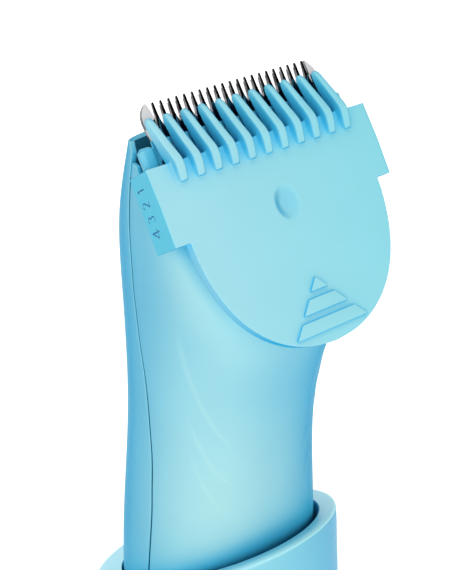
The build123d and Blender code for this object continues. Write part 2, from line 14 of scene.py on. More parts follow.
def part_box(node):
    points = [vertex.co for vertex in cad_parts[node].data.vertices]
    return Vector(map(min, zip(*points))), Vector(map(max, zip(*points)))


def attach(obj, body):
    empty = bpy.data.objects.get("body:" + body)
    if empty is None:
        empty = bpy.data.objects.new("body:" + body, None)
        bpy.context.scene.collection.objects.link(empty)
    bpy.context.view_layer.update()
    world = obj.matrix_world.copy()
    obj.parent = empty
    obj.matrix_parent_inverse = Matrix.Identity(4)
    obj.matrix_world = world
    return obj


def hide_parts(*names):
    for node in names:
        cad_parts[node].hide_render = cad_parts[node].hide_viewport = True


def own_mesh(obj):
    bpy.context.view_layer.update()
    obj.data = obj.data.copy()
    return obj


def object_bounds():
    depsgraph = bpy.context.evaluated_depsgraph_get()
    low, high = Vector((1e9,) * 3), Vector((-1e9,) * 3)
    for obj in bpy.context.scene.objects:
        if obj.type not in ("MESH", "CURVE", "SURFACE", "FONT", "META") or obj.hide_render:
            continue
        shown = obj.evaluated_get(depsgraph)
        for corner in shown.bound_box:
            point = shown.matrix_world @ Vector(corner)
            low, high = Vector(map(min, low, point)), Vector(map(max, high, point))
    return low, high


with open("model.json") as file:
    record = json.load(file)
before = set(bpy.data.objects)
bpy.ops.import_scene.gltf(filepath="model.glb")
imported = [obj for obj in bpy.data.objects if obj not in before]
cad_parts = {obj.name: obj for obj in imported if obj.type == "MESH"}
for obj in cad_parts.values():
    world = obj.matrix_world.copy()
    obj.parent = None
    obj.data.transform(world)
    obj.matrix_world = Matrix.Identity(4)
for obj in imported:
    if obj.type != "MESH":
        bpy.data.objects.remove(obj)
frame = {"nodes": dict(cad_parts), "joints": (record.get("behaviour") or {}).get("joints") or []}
CAD_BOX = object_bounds()
MM = 0.001

# Shared blade places in the head frame
FIXED_TIP = 10.12
FIXED_BACK, FIXED_FRONT = -4.25, -3.65
MOVING_BACK, MOVING_FRONT = -4.84, -4.29

# ---------------------------------------------------------------- head frame
guide = [joint for joint in frame["joints"] if joint["name"] == "guard_slide"][0]["axis"]
guide_length = math.sqrt(sum(part * part for part in guide))
# The head's up direction is (0, SIN_TILT, COS_TILT)
SIN_TILT, COS_TILT = guide[1] / guide_length, guide[2] / guide_length
blade_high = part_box("fixed_blade")[1]
HEAD_Z = blade_high.z / MM - (FIXED_TIP * COS_TILT + FIXED_FRONT * SIN_TILT)
HEAD_Y = blade_high.y / MM - (FIXED_TIP * SIN_TILT - FIXED_BACK * COS_TILT)


def head_to_row(across, up, out):
    across, up, out = np.broadcast_arrays(across, up, out)
    return np.stack([across, HEAD_Y + up * SIN_TILT - out * COS_TILT,
                     HEAD_Z + up * COS_TILT + out * SIN_TILT], -1)


def row_to_head(y, z):
    """The up and out coordinates of a row frame point."""
    y, z = y - HEAD_Y, z - HEAD_Z
    return y * SIN_TILT + z * COS_TILT, -y * COS_TILT + z * SIN_TILT


# ---------------------------------------------------------------- shader node helpers
MATS = {}


def new_material(name):
    material = bpy.data.materials.new(name)
    material.use_nodes = True
    tree = material.node_tree
    tree.nodes.clear()
    output = tree.nodes.new("ShaderNodeOutputMaterial")
    shader = tree.nodes.new("ShaderNodeBsdfPrincipled")
    tree.links.new(shader.outputs[0], output.inputs[0])
    MATS[name] = material
    return tree, shader


def set_input(tree, socket, value):
    """Links a node output to the socket, or stores a plain value in it."""
    if isinstance(value, bpy.types.NodeSocket):
        tree.links.new(value, socket)
    else:
        socket.default_value = value


def noise(tree, scale, detail=3.0, roughness=0.55, stretch=None):
    source = tree.nodes.new("ShaderNodeTexCoord").outputs["Object"]
    node = tree.nodes.new("ShaderNodeTexNoise")
    node.inputs["Scale"].default_value = scale
    node.inputs["Detail"].default_value = detail
    node.inputs["Roughness"].default_value = roughness
    if stretch:
        mapping = tree.nodes.new("ShaderNodeMapping")
        mapping.inputs["Scale"].default_value = stretch
        tree.links.new(source, mapping.inputs[0])
        source = mapping.outputs[0]
    tree.links.new(source, node.inputs[0])
    return node.outputs[0]


def remap(tree, source, low, high, start=0.35, end=0.65, kind="LINEAR"):
    """Maps source from start..end to low..high."""
    node = tree.nodes.new("ShaderNodeMapRange")
    node.interpolation_type = kind
    for key, value in (("From Min", start), ("From Max", end), ("To Min", low), ("To Max", high)):
        node.inputs[key].default_value = value
    tree.links.new(source, node.inputs[0])
    return node.outputs[0]


def mix(tree, factor, first, second, blend="MIX"):
    node = tree.nodes.new("ShaderNodeMix")
    node.data_type = "RGBA"
    node.blend_type = blend
    for index, value in ((0, factor), (6, first), (7, second)):
        value = (*value, 1) if isinstance(value, tuple) else value
        set_input(tree, node.inputs[index], value)
    return node.outputs[2]


def math_node(tree, operation, first, second):
    node = tree.nodes.new("ShaderNodeMath")
    node.operation = operation
    set_input(tree, node.inputs[0], first)
    set_input(tree, node.inputs[1], second)
    return node.outputs[0]


def bump(tree, shader, source, strength, distance, below=None):
    """Puts a bump on the shader, on top of an earlier bump if one is given."""
    node = tree.nodes.new("ShaderNodeBump")
    node.inputs["Strength"].default_value = strength
    node.inputs["Distance"].default_value = distance
    tree.links.new(source, node.inputs["Height"])
    if below is not None:
        tree.links.new(below, node.inputs["Normal"])
    tree.links.new(node.outputs[0], shader.inputs["Normal"])
    return node.outputs[0]


def scaled(colour, factor):
    return tuple(part * factor for part in colour)


def srgb(*channels):
    """Linear colour from 0-255 channels."""
    def linear(part):
        part /= 255.0
        return part / 12.92 if part <= 0.04045 else ((part + 0.055) / 1.055) ** 2.4
    return tuple(linear(part) for part in channels)


# ---------------------------------------------------------------- materials
PLASTIC_VARIATION = 0.03
# painted shadow colour for the tightest hollows, and the strength of a painted glow in shallow
# ones
CREASE_SHADOW = srgb(10, 60, 110)
PAINTED_GLOW = 0.10


def plastic(name, colour, roughness=0.40, grain=0.25, specular=0.30, grain_scale=5200.0,
            edge_shade=None, crease_light=None, reach=0.0045, fade=False):
    """Satin moulded plastic with a fine spark texture.

    The edge-on colour makes a painted sheen: paler where the skin faces the viewer, painted shade
    where it is seen edge-on. The crease colour paints bounce light into the hollows within reach
    (m), with painted shadow in the tightest ones. With fade, a painted light falloff tints it
    along x and a painted glow lights shallow hollows.
    """
    tree, shader = new_material(name)
    flow = remap(tree, noise(tree, scale=55.0), low=0, high=1)
    if edge_shade is None:
        light = tuple(min(1.0, part) for part in scaled(colour, 1 + PLASTIC_VARIATION))
        base = mix(tree, flow, scaled(colour, 1 - PLASTIC_VARIATION), light)
    else:
        # painted sheen: the base colour is paler where the skin faces the viewer and turns to the
        # edge-on colour, painted shade, at grazing angles
        weight = tree.nodes.new("ShaderNodeLayerWeight")
        weight.inputs["Blend"].default_value = 0.5
        facing = remap(tree, weight.outputs["Facing"], 0.0, 1.0, start=0.255, end=0.79)
        base = mix(tree, facing, colour, edge_shade)
        if crease_light is not None:
            # painted bounce light: a clear blue base colour in the hollows stands in for light
            # scattered inside the plastic, and the tightest hollows get a painted dark shadow
            hollow = tree.nodes.new("ShaderNodeAmbientOcclusion")
            hollow.samples = 6
            hollow.inputs["Distance"].default_value = reach
            openness = hollow.outputs["AO"]
            wide = remap(tree, openness, 1.0, 0.0, start=0.46, end=0.94)
            base = mix(tree, wide, base, crease_light)
            tight = remap(tree, openness, 1.0, 0.0, start=0.06, end=0.24)
            base = mix(tree, tight, base, CREASE_SHADOW)
        if fade:
            # painted light falloff: the colour turns more saturated from -x to +x, as light
            # falling from the left would make it
            coords = tree.nodes.new("ShaderNodeTexCoord")
            split = tree.nodes.new("ShaderNodeSeparateXYZ")
            tree.links.new(coords.outputs["Object"], split.inputs[0])
            side = remap(tree, split.outputs[0], 0.0, 1.0, start=-0.018, end=0.020)
            falloff_tint = mix(tree, side, (1.0, 1.0, 1.0), (0.74, 0.955, 0.965))
            base = mix(tree, 1.0, base, falloff_tint, blend="MULTIPLY")
            # painted glow: an emission between the deepest hollows and the open skin stands in
            # for light scattered inside the plastic
            near = remap(tree, openness, 0.0, 1.0, start=0.18, end=0.42)
            far = remap(tree, openness, 1.0, 0.0, start=0.36, end=0.90)
            band = math_node(tree, "MULTIPLY", near, far)
            glow = math_node(tree, "MULTIPLY", band, PAINTED_GLOW)
            shader.inputs["Emission Color"].default_value = (*crease_light, 1.0)
            tree.links.new(glow, shader.inputs["Emission Strength"])
        shade = mix(tree, flow, (1 - PLASTIC_VARIATION,) * 3, (1.0,) * 3)
        base = mix(tree, 1.0, base, shade, blend="MULTIPLY")
    tree.links.new(base, shader.inputs["Base Color"])
    middle = noise(tree, scale=900.0, detail=4.0)
    satin = remap(tree, middle, roughness - 0.035, roughness + 0.035)
    tree.links.new(satin, shader.inputs["Roughness"])
    fine = noise(tree, grain_scale, detail=2.0, roughness=0.6)
    grain_bump = bump(tree, shader, fine, strength=grain, distance=0.00002)
    bump(tree, shader, middle, strength=0.06, distance=0.00003, below=grain_bump)
    shader.inputs["Specular IOR Level"].default_value = specular


def metal(name, colour, roughness=0.25, brush=(1, 1, 40), scale=400.0, depth=0.12,
          variation=0.12, metallic=1.0):
    """Metal with brush marks: noise of the given scale squeezed by brush."""
    tree, shader = new_material(name)
    marks = noise(tree, scale, detail=4.0, roughness=0.6, stretch=brush)
    base = mix(tree, remap(tree, marks, 0, 1), scaled(colour, 1 - variation), colour)
    tree.links.new(base, shader.inputs["Base Color"])
    polish = remap(tree, marks, max(0.03, roughness - 0.06), roughness + 0.06)
    tree.links.new(polish, shader.inputs["Roughness"])
    bump(tree, shader, marks, strength=depth, distance=0.00002)
    shader.inputs["Metallic"].default_value = metallic


def rubber(name, colour, roughness):
    tree, shader = new_material(name)
    mottle = noise(tree, scale=700.0, detail=5.0)
    base = mix(tree, remap(tree, mottle, 0, 1), scaled(colour, 0.85), scaled(colour, 1.15))
    tree.links.new(base, shader.inputs["Base Color"])
    matt = remap(tree, mottle, roughness - 0.08, roughness + 0.08)
    tree.links.new(matt, shader.inputs["Roughness"])
    bump(tree, shader, noise(tree, scale=4000.0, detail=2.0), strength=0.4, distance=0.00003)


def board_material():
    tree, shader = new_material("board_green")
    tracks = noise(tree, scale=350.0, detail=2.0)
    edge = remap(tree, tracks, 0, 1, start=0.47, end=0.53)
    base = mix(tree, edge, (0.006, 0.055, 0.025), (0.012, 0.10, 0.045))
    tree.links.new(base, shader.inputs["Base Color"])
    tree.links.new(remap(tree, tracks, 0.22, 0.34), shader.inputs["Roughness"])
    relief = remap(tree, tracks, 0, 1, start=0.49, end=0.51)
    bump(tree, shader, relief, strength=0.3, distance=0.00003)


def lens_material():
    tree, shader = new_material("lens_clear")
    cloud = noise(tree, scale=900.0, detail=2.0)
    base = mix(tree, remap(tree, cloud, 0, 1), (0.80, 0.92, 0.97), (0.90, 0.97, 1.0))
    tree.links.new(base, shader.inputs["Base Color"])
    tree.links.new(remap(tree, cloud, 0.12, 0.22), shader.inputs["Roughness"])
    shader.inputs["Transmission Weight"].default_value = 0.55
    shader.inputs["IOR"].default_value = 1.49
    bump(tree, shader, cloud, strength=0.05, distance=0.00002)


# edge-on colour: painted shade where a skin is seen edge-on; crease colour: painted bounce light
# in the hollows
EDGE_SHADE_BLUE = srgb(18, 156, 200)
CREASE_LIGHT_BLUE = srgb(72, 196, 234)
EVEN = (1, 1, 1)
plastic("casing_blue", srgb(167, 218, 222), roughness=0.44, specular=0.055,
        edge_shade=srgb(20, 159, 201), crease_light=CREASE_LIGHT_BLUE, reach=0.012)
plastic("comb_blue", srgb(161, 222, 234), roughness=0.44, specular=0.14,
        edge_shade=EDGE_SHADE_BLUE, crease_light=CREASE_LIGHT_BLUE, fade=True)
# darker copy of the comb plastic: painted shade on the flange's side faces
plastic("comb_side_shaded", srgb(122, 213, 230), roughness=0.46, specular=0.08,
        edge_shade=srgb(36, 168, 204))
plastic("carrier_blue", srgb(124, 208, 229), roughness=0.42, edge_shade=EDGE_SHADE_BLUE,
        crease_light=CREASE_LIGHT_BLUE)
plastic("stand_blue", srgb(144, 212, 224), specular=0.16, edge_shade=srgb(50, 168, 208))
# paler copy of the stand plastic: painted light on the stand's rim
plastic("stand_rim_lit", srgb(168, 232, 242), roughness=0.36, specular=0.42,
        edge_shade=srgb(150, 226, 242))
plastic("button_blue", srgb(104, 192, 222), roughness=0.36, edge_shade=srgb(60, 160, 206))
plastic("base_blue", srgb(74, 170, 205), roughness=0.55, grain=0.6, grain_scale=2500.0)
plastic("frame_grey", srgb(92, 98, 104), roughness=0.55, grain=0.5)
plastic("drive_white", srgb(226, 228, 226), roughness=0.38)
plastic("cell_wrap", srgb(44, 120, 148), roughness=0.22, grain=0.05)
# darker blue in the engraved figures' grooves: painted shade
plastic("digit_groove_shade", srgb(24, 122, 172), roughness=0.5)
plastic("seam_shade", srgb(16, 62, 88), roughness=0.7)
metal("blade_dark", (0.27, 0.28, 0.30), roughness=0.07, brush=EVEN, scale=900.0, depth=0.03)
metal("blade_light", (0.80, 0.80, 0.80), roughness=0.5, brush=(60, 1, 1), scale=300.0,
      depth=0.10, variation=0.05, metallic=0.25)
metal("blade_edge", (0.26, 0.26, 0.27), roughness=0.16, brush=(260, 1, 1), scale=40.0,
      depth=0.10, variation=0.93)
metal("blade_cutter", (0.72, 0.73, 0.75), roughness=0.22, brush=(40, 1, 1), scale=300.0,
      depth=0.08, variation=0.10)
metal("spring_steel", (0.55, 0.55, 0.57))
metal("screw_steel", (0.5, 0.5, 0.52), roughness=0.3, brush=EVEN, scale=900.0)
metal("motor_steel", (0.62, 0.62, 0.64), roughness=0.32, brush=(1, 1, 30), scale=300.0)
metal("weight_steel", (0.2, 0.2, 0.21), roughness=0.55, brush=EVEN, scale=600.0, depth=0.4)
metal("magnet_black", (0.05, 0.05, 0.055), roughness=0.6, brush=EVEN, scale=600.0, depth=0.4)
metal("contact_brass", (0.86, 0.64, 0.26), roughness=0.22, brush=EVEN, scale=900.0, depth=0.06)
metal("socket_metal", (0.72, 0.72, 0.74), roughness=0.22, brush=(1, 30, 1), depth=0.06)
rubber("seal_rubber", (0.02, 0.022, 0.025), roughness=0.55)
rubber("foot_rubber", (0.06, 0.07, 0.08), roughness=0.8)
rubber("wire_cover", srgb(150, 40, 38), roughness=0.45)
board_material()
lens_material()


# ---------------------------------------------------------------- mesh helpers
def mesh_object(name, verts, faces):
    mesh = bpy.data.meshes.new(name)
    mesh.from_pydata(np.asarray(verts, float).tolist(), [], faces)
    mesh.update()
    piece = bpy.data.objects.new(name, mesh)
    bpy.context.scene.collection.objects.link(piece)
    return piece


def finish_piece(piece, body, materials, slot, node, face_mat=None, sharp=40):
    """Gives a piece its materials and shading, puts it on its body and hides the CAD node it
    replaces.
    """
    mesh = piece.data
    mesh.materials.clear()
    for name in materials:
        mesh.materials.append(MATS[name])
    if face_mat is not None:
        mesh.polygons.foreach_set("material_index", np.asarray(face_mat, np.int32))
    mesh.polygons.foreach_set("use_smooth", [True] * len(mesh.polygons))
    mesh.set_sharp_from_angle(angle=math.radians(sharp))
    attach(piece, body)
    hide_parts(node)


def make(name, verts, faces, *finish, **shading):
    """A finished piece from row frame points in mm."""
    piece = mesh_object(name, np.asarray(verts, float) * MM, faces)
    piece.data.validate()
    piece.data.update()
    finish_piece(piece, *finish, **shading)
    return piece


def fix_normals(piece):
    work = bmesh.new()
    work.from_mesh(piece.data)
    bmesh.ops.recalc_face_normals(work, faces=work.faces)
    work.to_mesh(piece.data)
    work.free()


def plain_solid(name, verts, faces):
    """An unfinished solid from row frame points in mm."""
    piece = mesh_object(name, np.asarray(verts, float) * MM, faces)
    fix_normals(piece)
    return piece


def modify(piece, kind, **settings):
    """Adds a modifier and applies it at once."""
    modifier = piece.modifiers.new("shape", kind)
    for key, value in settings.items():
        setattr(modifier, key, value)
    graph = bpy.context.evaluated_depsgraph_get()
    mesh = bpy.data.meshes.new_from_object(piece.evaluated_get(graph))
    old = piece.data
    piece.modifiers.clear()
    piece.data = mesh
    bpy.data.meshes.remove(old)


def drop(*pieces):
    for piece in pieces:
        mesh = piece.data
        bpy.data.objects.remove(piece)
        bpy.data.meshes.remove(mesh)


def cut_away(piece, *cutters):
    """Cuts all the cutters out of a piece in one go, then removes them."""
    work = bmesh.new()
    for cutter in cutters:
        work.from_mesh(cutter.data)
    work.to_mesh(cutters[0].data)
    work.free()
    modify(piece, "BOOLEAN", operation="DIFFERENCE", solver="EXACT", object=cutters[0])
    drop(*cutters)


def get_points(mesh):
    points = np.zeros(len(mesh.vertices) * 3)
    mesh.vertices.foreach_get("co", points)
    return points.reshape(-1, 3)


def set_points(mesh, points):
    mesh.vertices.foreach_set("co", points.ravel())
    mesh.update()


def to_row(piece):
    """Moves a mesh from the head frame in mm to the row frame in metres."""
    set_points(piece.data, head_to_row(*get_points(piece.data).T) * MM)


def grid_faces(rows, cols, base=0, flip=False):
    faces = []
    for i in range(rows - 1):
        for j in range(cols - 1):
            corner = base + i * cols + j
            face = (corner, corner + 1, corner + cols + 1, corner + cols)
            faces.append(face[:1] + face[:0:-1] if flip else face)
    return faces


def loft_faces(rings, count):
    """Sides and two end caps of a solid made of rings with count points each."""
    faces = []
    for k in range(rings - 1):
        for i in range(count):
            here, beside = k * count + i, k * count + (i + 1) % count
            faces.append((here, beside, beside + count, here + count))
    last = (rings - 1) * count
    return faces + [tuple(range(count))[::-1], tuple(range(last, last + count))]


def cylinder(centre, axis, radius, half_length, count):
    """Closed cylinder along axis 1 (y) or 2 (z)."""
    angles = np.linspace(0, 2 * np.pi, count, endpoint=False)
    ring = np.tile(np.asarray(centre, float), (count, 1))
    ring[:, 0] += np.cos(angles) * radius
    ring[:, 3 - axis] += np.sin(angles) * radius
    offset = np.zeros(3)
    offset[axis] = half_length
    verts = np.concatenate([ring - offset, ring + offset])
    return plain_solid("cutter", verts, loft_faces(2, count))


def middle_mm(box, axis):
    return (getattr(box[0], axis) + getattr(box[1], axis)) / 2 / MM


def spline_through(knots, values):
    """Natural cubic spline."""
    knots, values = np.asarray(knots, float), np.asarray(values, float)
    count = len(knots)
    gaps = np.diff(knots)
    system = np.zeros((count, count))
    target = np.zeros(count)
    system[0, 0] = system[-1, -1] = 1
    for i in range(1, count - 1):
        before, after = gaps[i - 1], gaps[i]
        system[i, i - 1:i + 2] = before, 2 * (before + after), after
        target[i] = 6 * ((values[i + 1] - values[i]) / after
                         - (values[i] - values[i - 1]) / before)
    bend = np.linalg.solve(system, target)

    def evaluate(x):
        x = np.asarray(x, float)
        k = np.clip(np.searchsorted(knots, x) - 1, 0, count - 2)
        gap = gaps[k]
        left, right = knots[k + 1] - x, x - knots[k]
        return ((bend[k] * left ** 3 + bend[k + 1] * right ** 3) / (6 * gap)
                + (values[k] / gap - bend[k] * gap / 6) * left
                + (values[k + 1] / gap - bend[k + 1] * gap / 6) * right)
    return evaluate


def smooth_step(start, end, x):
    t = np.clip((x - start) / (end - start), 0, 1)
    return t * t * (3 - 2 * t)


def rounding(radius, distance):
    """Depth of a quarter-round edge at a distance from the border."""
    reach = np.clip(radius - distance, 0, radius)
    return radius - np.sqrt(np.maximum(radius * radius - reach * reach, 0))


# ---------------------------------------------------------------- casing
# z, half width, front y, back y, superellipse exponent
SECTIONS = np.array([
    (12.0, 20.95, -20.95, 20.95, 2.0), (27.0, 21.1, -21.1, 21.1, 2.0),
    (42.0, 20.95, -21.0, 20.95, 2.05), (62.0, 19.98, -19.97, 19.97, 2.15),
    (77.0, 18.93, -18.76, 19.07, 2.15), (92.0, 18.12, -17.95, 18.22, 2.15),
    (107.0, 18.14, -18.96, 17.71, 2.2), (122.0, 18.5, -21.9, 17.6, 2.35),
    (137.0, 19.1, -21.2, 14.1, 2.8), (149.0, 19.15, -14.1, 7.9, 3.3),
    (161.0, 18.8, -7.2, 1.6, 3.6)])
SECTION_SPLINES = [spline_through(SECTIONS[:, 0], SECTIONS[:, k]) for k in range(1, 5)]
# Joint between front and rear shells: y, z
SEAM = np.array([
    (-3.8, 10.0), (-3.8, 67.2), (-3.7, 75.5), (-3.4, 80.7), (-3.2, 85.9), (-3.0, 89.6),
    (-2.5, 95.8), (-2.1, 103.3), (-1.4, 110.1), (-0.3, 116.5), (0.2, 121.8), (0.6, 127.1),
    (0.5, 132.6), (0.4, 140.4), (-0.1, 145.9), (-0.6, 150.0), (-1.3, 154.0), (-2.5, 162.0)])
SEAM_SPLINE = spline_through(SEAM[:, 1], SEAM[:, 0])
SEAM_STRAIGHT_Y, SEAM_STRAIGHT_TOP = SEAM[1]
SEAM_GAP = 0.15                  # each shell stops this far from the joint
# Nested U-shaped steps: points (|x|, z), depth, |x| where the step starts and is full
RIDGES = [
    ([(8.0, 97.3), (9.6, 99.2), (10.9, 101.2), (12.3, 104.2), (13.9, 108.5), (15.2, 113.0),
      (16.2, 117.2), (17.0, 122.0), (17.9, 129.0)], 0.12, 8.0, 11.5),
    ([(7.6, 87.4), (9.0, 88.4), (10.2, 89.6), (11.4, 91.8), (12.6, 94.8), (13.8, 98.4),
      (14.7, 102.0), (15.6, 107.0)], 0.10, 7.4, 10.5),
    ([(8.0, 79.0), (9.6, 80.3), (11.2, 82.6), (12.6, 86.0), (13.6, 89.5), (14.3, 93.5),
      (14.9, 98.0)], 0.075, 8.4, 11.5)]
HEIGHTS = np.linspace(15.0, 161.0, 585)
SHELL_BOTTOM = 16.0
FRONT_PLANE = -2.5               # out coordinate of the flattened front
FRONT_TOP = 153.4                # highest z of the front shell
WALL = 1.8
GIRTH, RISE = 60.0, 140.0        # nominal shell lengths that scale the edge rounding
CASING_MATERIALS = ["casing_blue", "seam_shade"]


def seam_y(z):
    spline = SEAM_SPLINE(np.maximum(z, SEAM_STRAIGHT_TOP))
    return np.where(z < SEAM_STRAIGHT_TOP, SEAM_STRAIGHT_Y, spline)


def ridge_depth(x, z):
    """Depth of the shallow steps moulded in the front of the grip."""
    side = np.abs(x)
    depth = np.zeros_like(side)
    for points, amount, start, full in RIDGES:
        line_x, line_z = np.array(points).T
        line = np.interp(side, line_x, line_z, left=line_z[0] - 1.0, right=line_z[-1] + 3.0)
        slope = np.interp(side, (line_x[1:] + line_x[:-1]) / 2,
                          np.diff(line_z) / np.diff(line_x))
        distance = (z - line) / np.sqrt(1 + slope ** 2)       # positive inside the U
        profile = smooth_step(-0.25, 0.45, distance) * (1 - smooth_step(0.6, 7.5, distance))
        fade = (smooth_step(start, full, side)
                * (1 - smooth_step(line_z[-1] - 9.0, line_z[-1] - 0.5, z)))
        depth = depth + amount * profile * fade
    return depth


def casing_skin(front, count=361):
    """Table of the skin from seam to seam, evenly spaced along the girth at each height."""
    skin = np.zeros((len(HEIGHTS), count, 3))
    fraction = np.linspace(0, 1, 1601)
    for i, z in enumerate(HEIGHTS):
        half_width, y_front, y_back, power = [float(spline(z)) for spline in SECTION_SPLINES]
        y_middle, half_depth = (y_front + y_back) / 2, (y_back - y_front) / 2
        joint = float(seam_y(z)) + (-SEAM_GAP if front else SEAM_GAP)
        ratio = np.clip((joint - y_middle) / half_depth, -0.999, 0.999)
        sine = math.copysign(abs(ratio) ** (power / 2), ratio)
        angle = math.asin(max(-1, min(1, sine)))
        start, end = (math.pi - angle, 2 * math.pi + angle) if front else (angle, math.pi - angle)
        turn = start + (end - start) * fraction
        cosines, sines = np.cos(turn), np.sin(turn)
        x = half_width * np.sign(cosines) * np.abs(cosines) ** (2 / power)
        y = y_middle + half_depth * np.sign(sines) * np.abs(sines) ** (2 / power)
        length = np.concatenate([[0], np.cumsum(np.hypot(np.diff(x), np.diff(y)))])
        even = np.linspace(0, length[-1], count)
        skin[i, :, 0] = np.interp(even, length, x)
        skin[i, :, 1] = np.interp(even, length, y)
        skin[i, :, 2] = z
    return skin


def sample(table, girth, z):
    """Bilinear sample of a skin table at girth fraction and height."""
    count = table.shape[1]
    row = np.clip((z - HEIGHTS[0]) / (HEIGHTS[1] - HEIGHTS[0]), 0, len(HEIGHTS) - 1.001)
    col = np.clip(girth * (count - 1), 0, count - 1.001)
    i, j = row.astype(int), col.astype(int)
    rise, along = (row - i)[..., None], (col - j)[..., None]
    return (table[i, j] * (1 - rise) * (1 - along) + table[i + 1, j] * rise * (1 - along)
            + table[i, j + 1] * (1 - rise) * along + table[i + 1, j + 1] * rise * along)


def flatten_front(points, soft=0.5):
    """Pushes the skin back where it would stand proud of the head's front plane."""
    excess = row_to_head(points[..., 1], points[..., 2])[1] - FRONT_PLANE
    shift = np.where(excess > -6 * soft, soft * np.logaddexp(0, excess / soft), 0.0)
    flat = points.copy()
    flat[..., 1] += shift / COS_TILT
    return flat


def rim_z(y):
    """Height of the sloping top edge, in two straight runs."""
    return np.where(y < 4.2, 156.4 - 0.359 * (y - 0.3), 155.0 - 0.3876 * (y - 4.2))


def room_to_edge(points, front):
    """Positive where the casing exists, below its top edge."""
    y, z = points[..., 1], points[..., 2]
    up, out = row_to_head(y, z)
    corridor = np.maximum(-4.2 - up, -7.6 - out)
    if front:
        corridor = np.minimum(corridor, FRONT_TOP - z)
    return np.minimum(rim_z(y) - z, corridor)


def top_heights(table, front):
    """Height of the top edge for each column of the skin table."""
    room = room_to_edge(table, front)
    tops = np.full(table.shape[1], HEIGHTS[-1])
    for j in range(len(tops)):
        k = np.argmax(room[:, j] < 0)
        if room[k, j] < 0:
            below, above = room[k - 1, j], room[k, j]
            step = HEIGHTS[k] - HEIGHTS[k - 1]
            tops[j] = HEIGHTS[k - 1] + step * below / (below - above)
    return tops


def build_shell(front):
    """Vertices, faces and material indices of one walled shell."""
    table = casing_skin(front)
    if front:
        table = flatten_front(table)
    tops = top_heights(table, front)
    cols, rows = (241, 330) if front else (221, 300)
    # extra stations close to the borders carry the rounded edges
    edge = np.array([0, 0.05, 0.12, 0.2, 0.3]) / GIRTH
    across = np.concatenate([edge, np.linspace(edge[-1], 1 - edge[-1], cols)[1:-1],
                             1 - edge[::-1]])
    rising = np.concatenate([[0, 0.0006, 0.0015, 0.0025], np.linspace(0, 1, rows)[1:-1],
                             [1 - 0.0025, 1 - 0.0015, 1 - 0.0007, 1.0]])
    height = np.interp(across, np.linspace(0, 1, len(tops)), tops) - SHELL_BOTTOM
    girth, rise = np.meshgrid(across, rising)
    skin = sample(table, girth, SHELL_BOTTOM + rise * height[None, :])
    normal = np.cross(np.gradient(skin, axis=1), np.gradient(skin, axis=0))
    normal /= np.linalg.norm(normal, axis=2, keepdims=True) + 1e-12
    if normal[rows // 2, cols // 2, 1] * (-1.0 if front else 1.0) < 0:
        normal = -normal
    if front:
        skin = skin - normal * ridge_depth(skin[..., 0], skin[..., 2])[..., None]
    # the wall thins towards the top edge
    below = (1 - rise) * height[None, :]
    thin = 0.65 if front else 0.9
    wall = thin + (WALL - thin) * smooth_step(1.5, 9.0, below)
    inner = skin - normal * wall[..., None]
    border = np.minimum(np.minimum(girth, 1 - girth) * GIRTH,
                        np.minimum((1 - rise) * RISE, rise * RISE))
    skin = skin - normal * rounding(0.28 if front else 0.16, border)[..., None]

    rows, cols = skin.shape[:2]
    lift = rows * cols                   # index step from the skin to the inner wall
    verts = np.concatenate([skin.reshape(-1, 3), inner.reshape(-1, 3)])
    faces = grid_faces(rows, cols) + grid_faces(rows, cols, lift, flip=True)
    for j in range(cols - 1):
        faces.append((j, j + 1, lift + j + 1, lift + j))
        top = (rows - 1) * cols + j
        faces.append((top + 1, top, lift + top, lift + top + 1))
    marks = [0] * len(faces)
    # the long joint faces get a dark colour, painted shadow as in a closed joint, except near the
    # open top
    for i in range(rows - 1):
        first, last = i * cols, i * cols + cols - 1
        faces.append((first + cols, first, lift + first, lift + first + cols))
        faces.append((last, last + cols, lift + last + cols, lift + last))
        marks += [1 if i < rows - 14 else 0] * 2
    return verts, faces, marks


def casing_piece(name, node, front):
    verts, faces, marks = build_shell(front)
    piece = make(name, verts, faces, "groomer", CASING_MATERIALS, "casing_blue", node,
                 face_mat=marks, sharp=35)
    fix_normals(piece)
    return piece


def cut_rear_holes(rear):
    """Round holes for the power button and the status lens."""
    holes = [cylinder((0, 18, middle_mm(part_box(node), "z")), 1, radius, 6.0, count)
             for node, radius, count in (("power_button", 6.3, 64), ("status_lens", 1.3, 32))]
    cut_away(rear, *holes)
    marks = np.zeros(len(rear.data.polygons), np.int32)
    rear.data.polygons.foreach_get("material_index", marks)
    finish_piece(rear, "groomer", CASING_MATERIALS, "casing_blue", "rear_shell",
                 face_mat=np.clip(marks, 0, 1), sharp=35)


casing_piece("front_casing", "front_shell", front=True)
cut_rear_holes(casing_piece("rear_casing", "rear_shell", front=False))

# ---------------------------------------------------------------- charging stand
FOOT_RADIUS = 33.0
STAND_BOTTOM, STAND_TOP = 5.0, 76.0      # span of the outer wall profile
# Outer wall: radius, z
STAND_WALL = np.array([
    (FOOT_RADIUS, STAND_BOTTOM), (32.4, 6.6), (31.0, 11.0), (29.5, 18.0), (28.1, 29.0),
    (27.3, 42.0), (26.2, 54.0), (25.55, 61.0), (24.75, 68.0), (24.1, STAND_TOP)])
# Foot and underside, from the outer wall in to the axis: radius, z
UNDERSIDE = [
    (FOOT_RADIUS, 4.4), (FOOT_RADIUS, 3.5), (32.85, 3.12), (32.5, 3.0), (32.0, 3.0),
    (31.3, 3.0), (31.0, 3.05), (30.98, 4.2), (30.6, 6.0), (28.6, 9.0), (24.0, 9.6),
    (14.0, 9.6), (6.0, 9.6), (0.4, 9.6)]
BORE = (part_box("stand_housing")[1].x / MM - FOOT_RADIUS) + 21.45
CUP_FLOOR = 11.94
FLOOR_FILLET = 1.2
RIM_SLOPE = math.tan(math.radians(39.8))     # the rim is highest at the front
RIM_CENTRE_Z = 52.6
RIM_INNER_ROUND, RIM_OUTER_ROUND = 0.3, 1.75
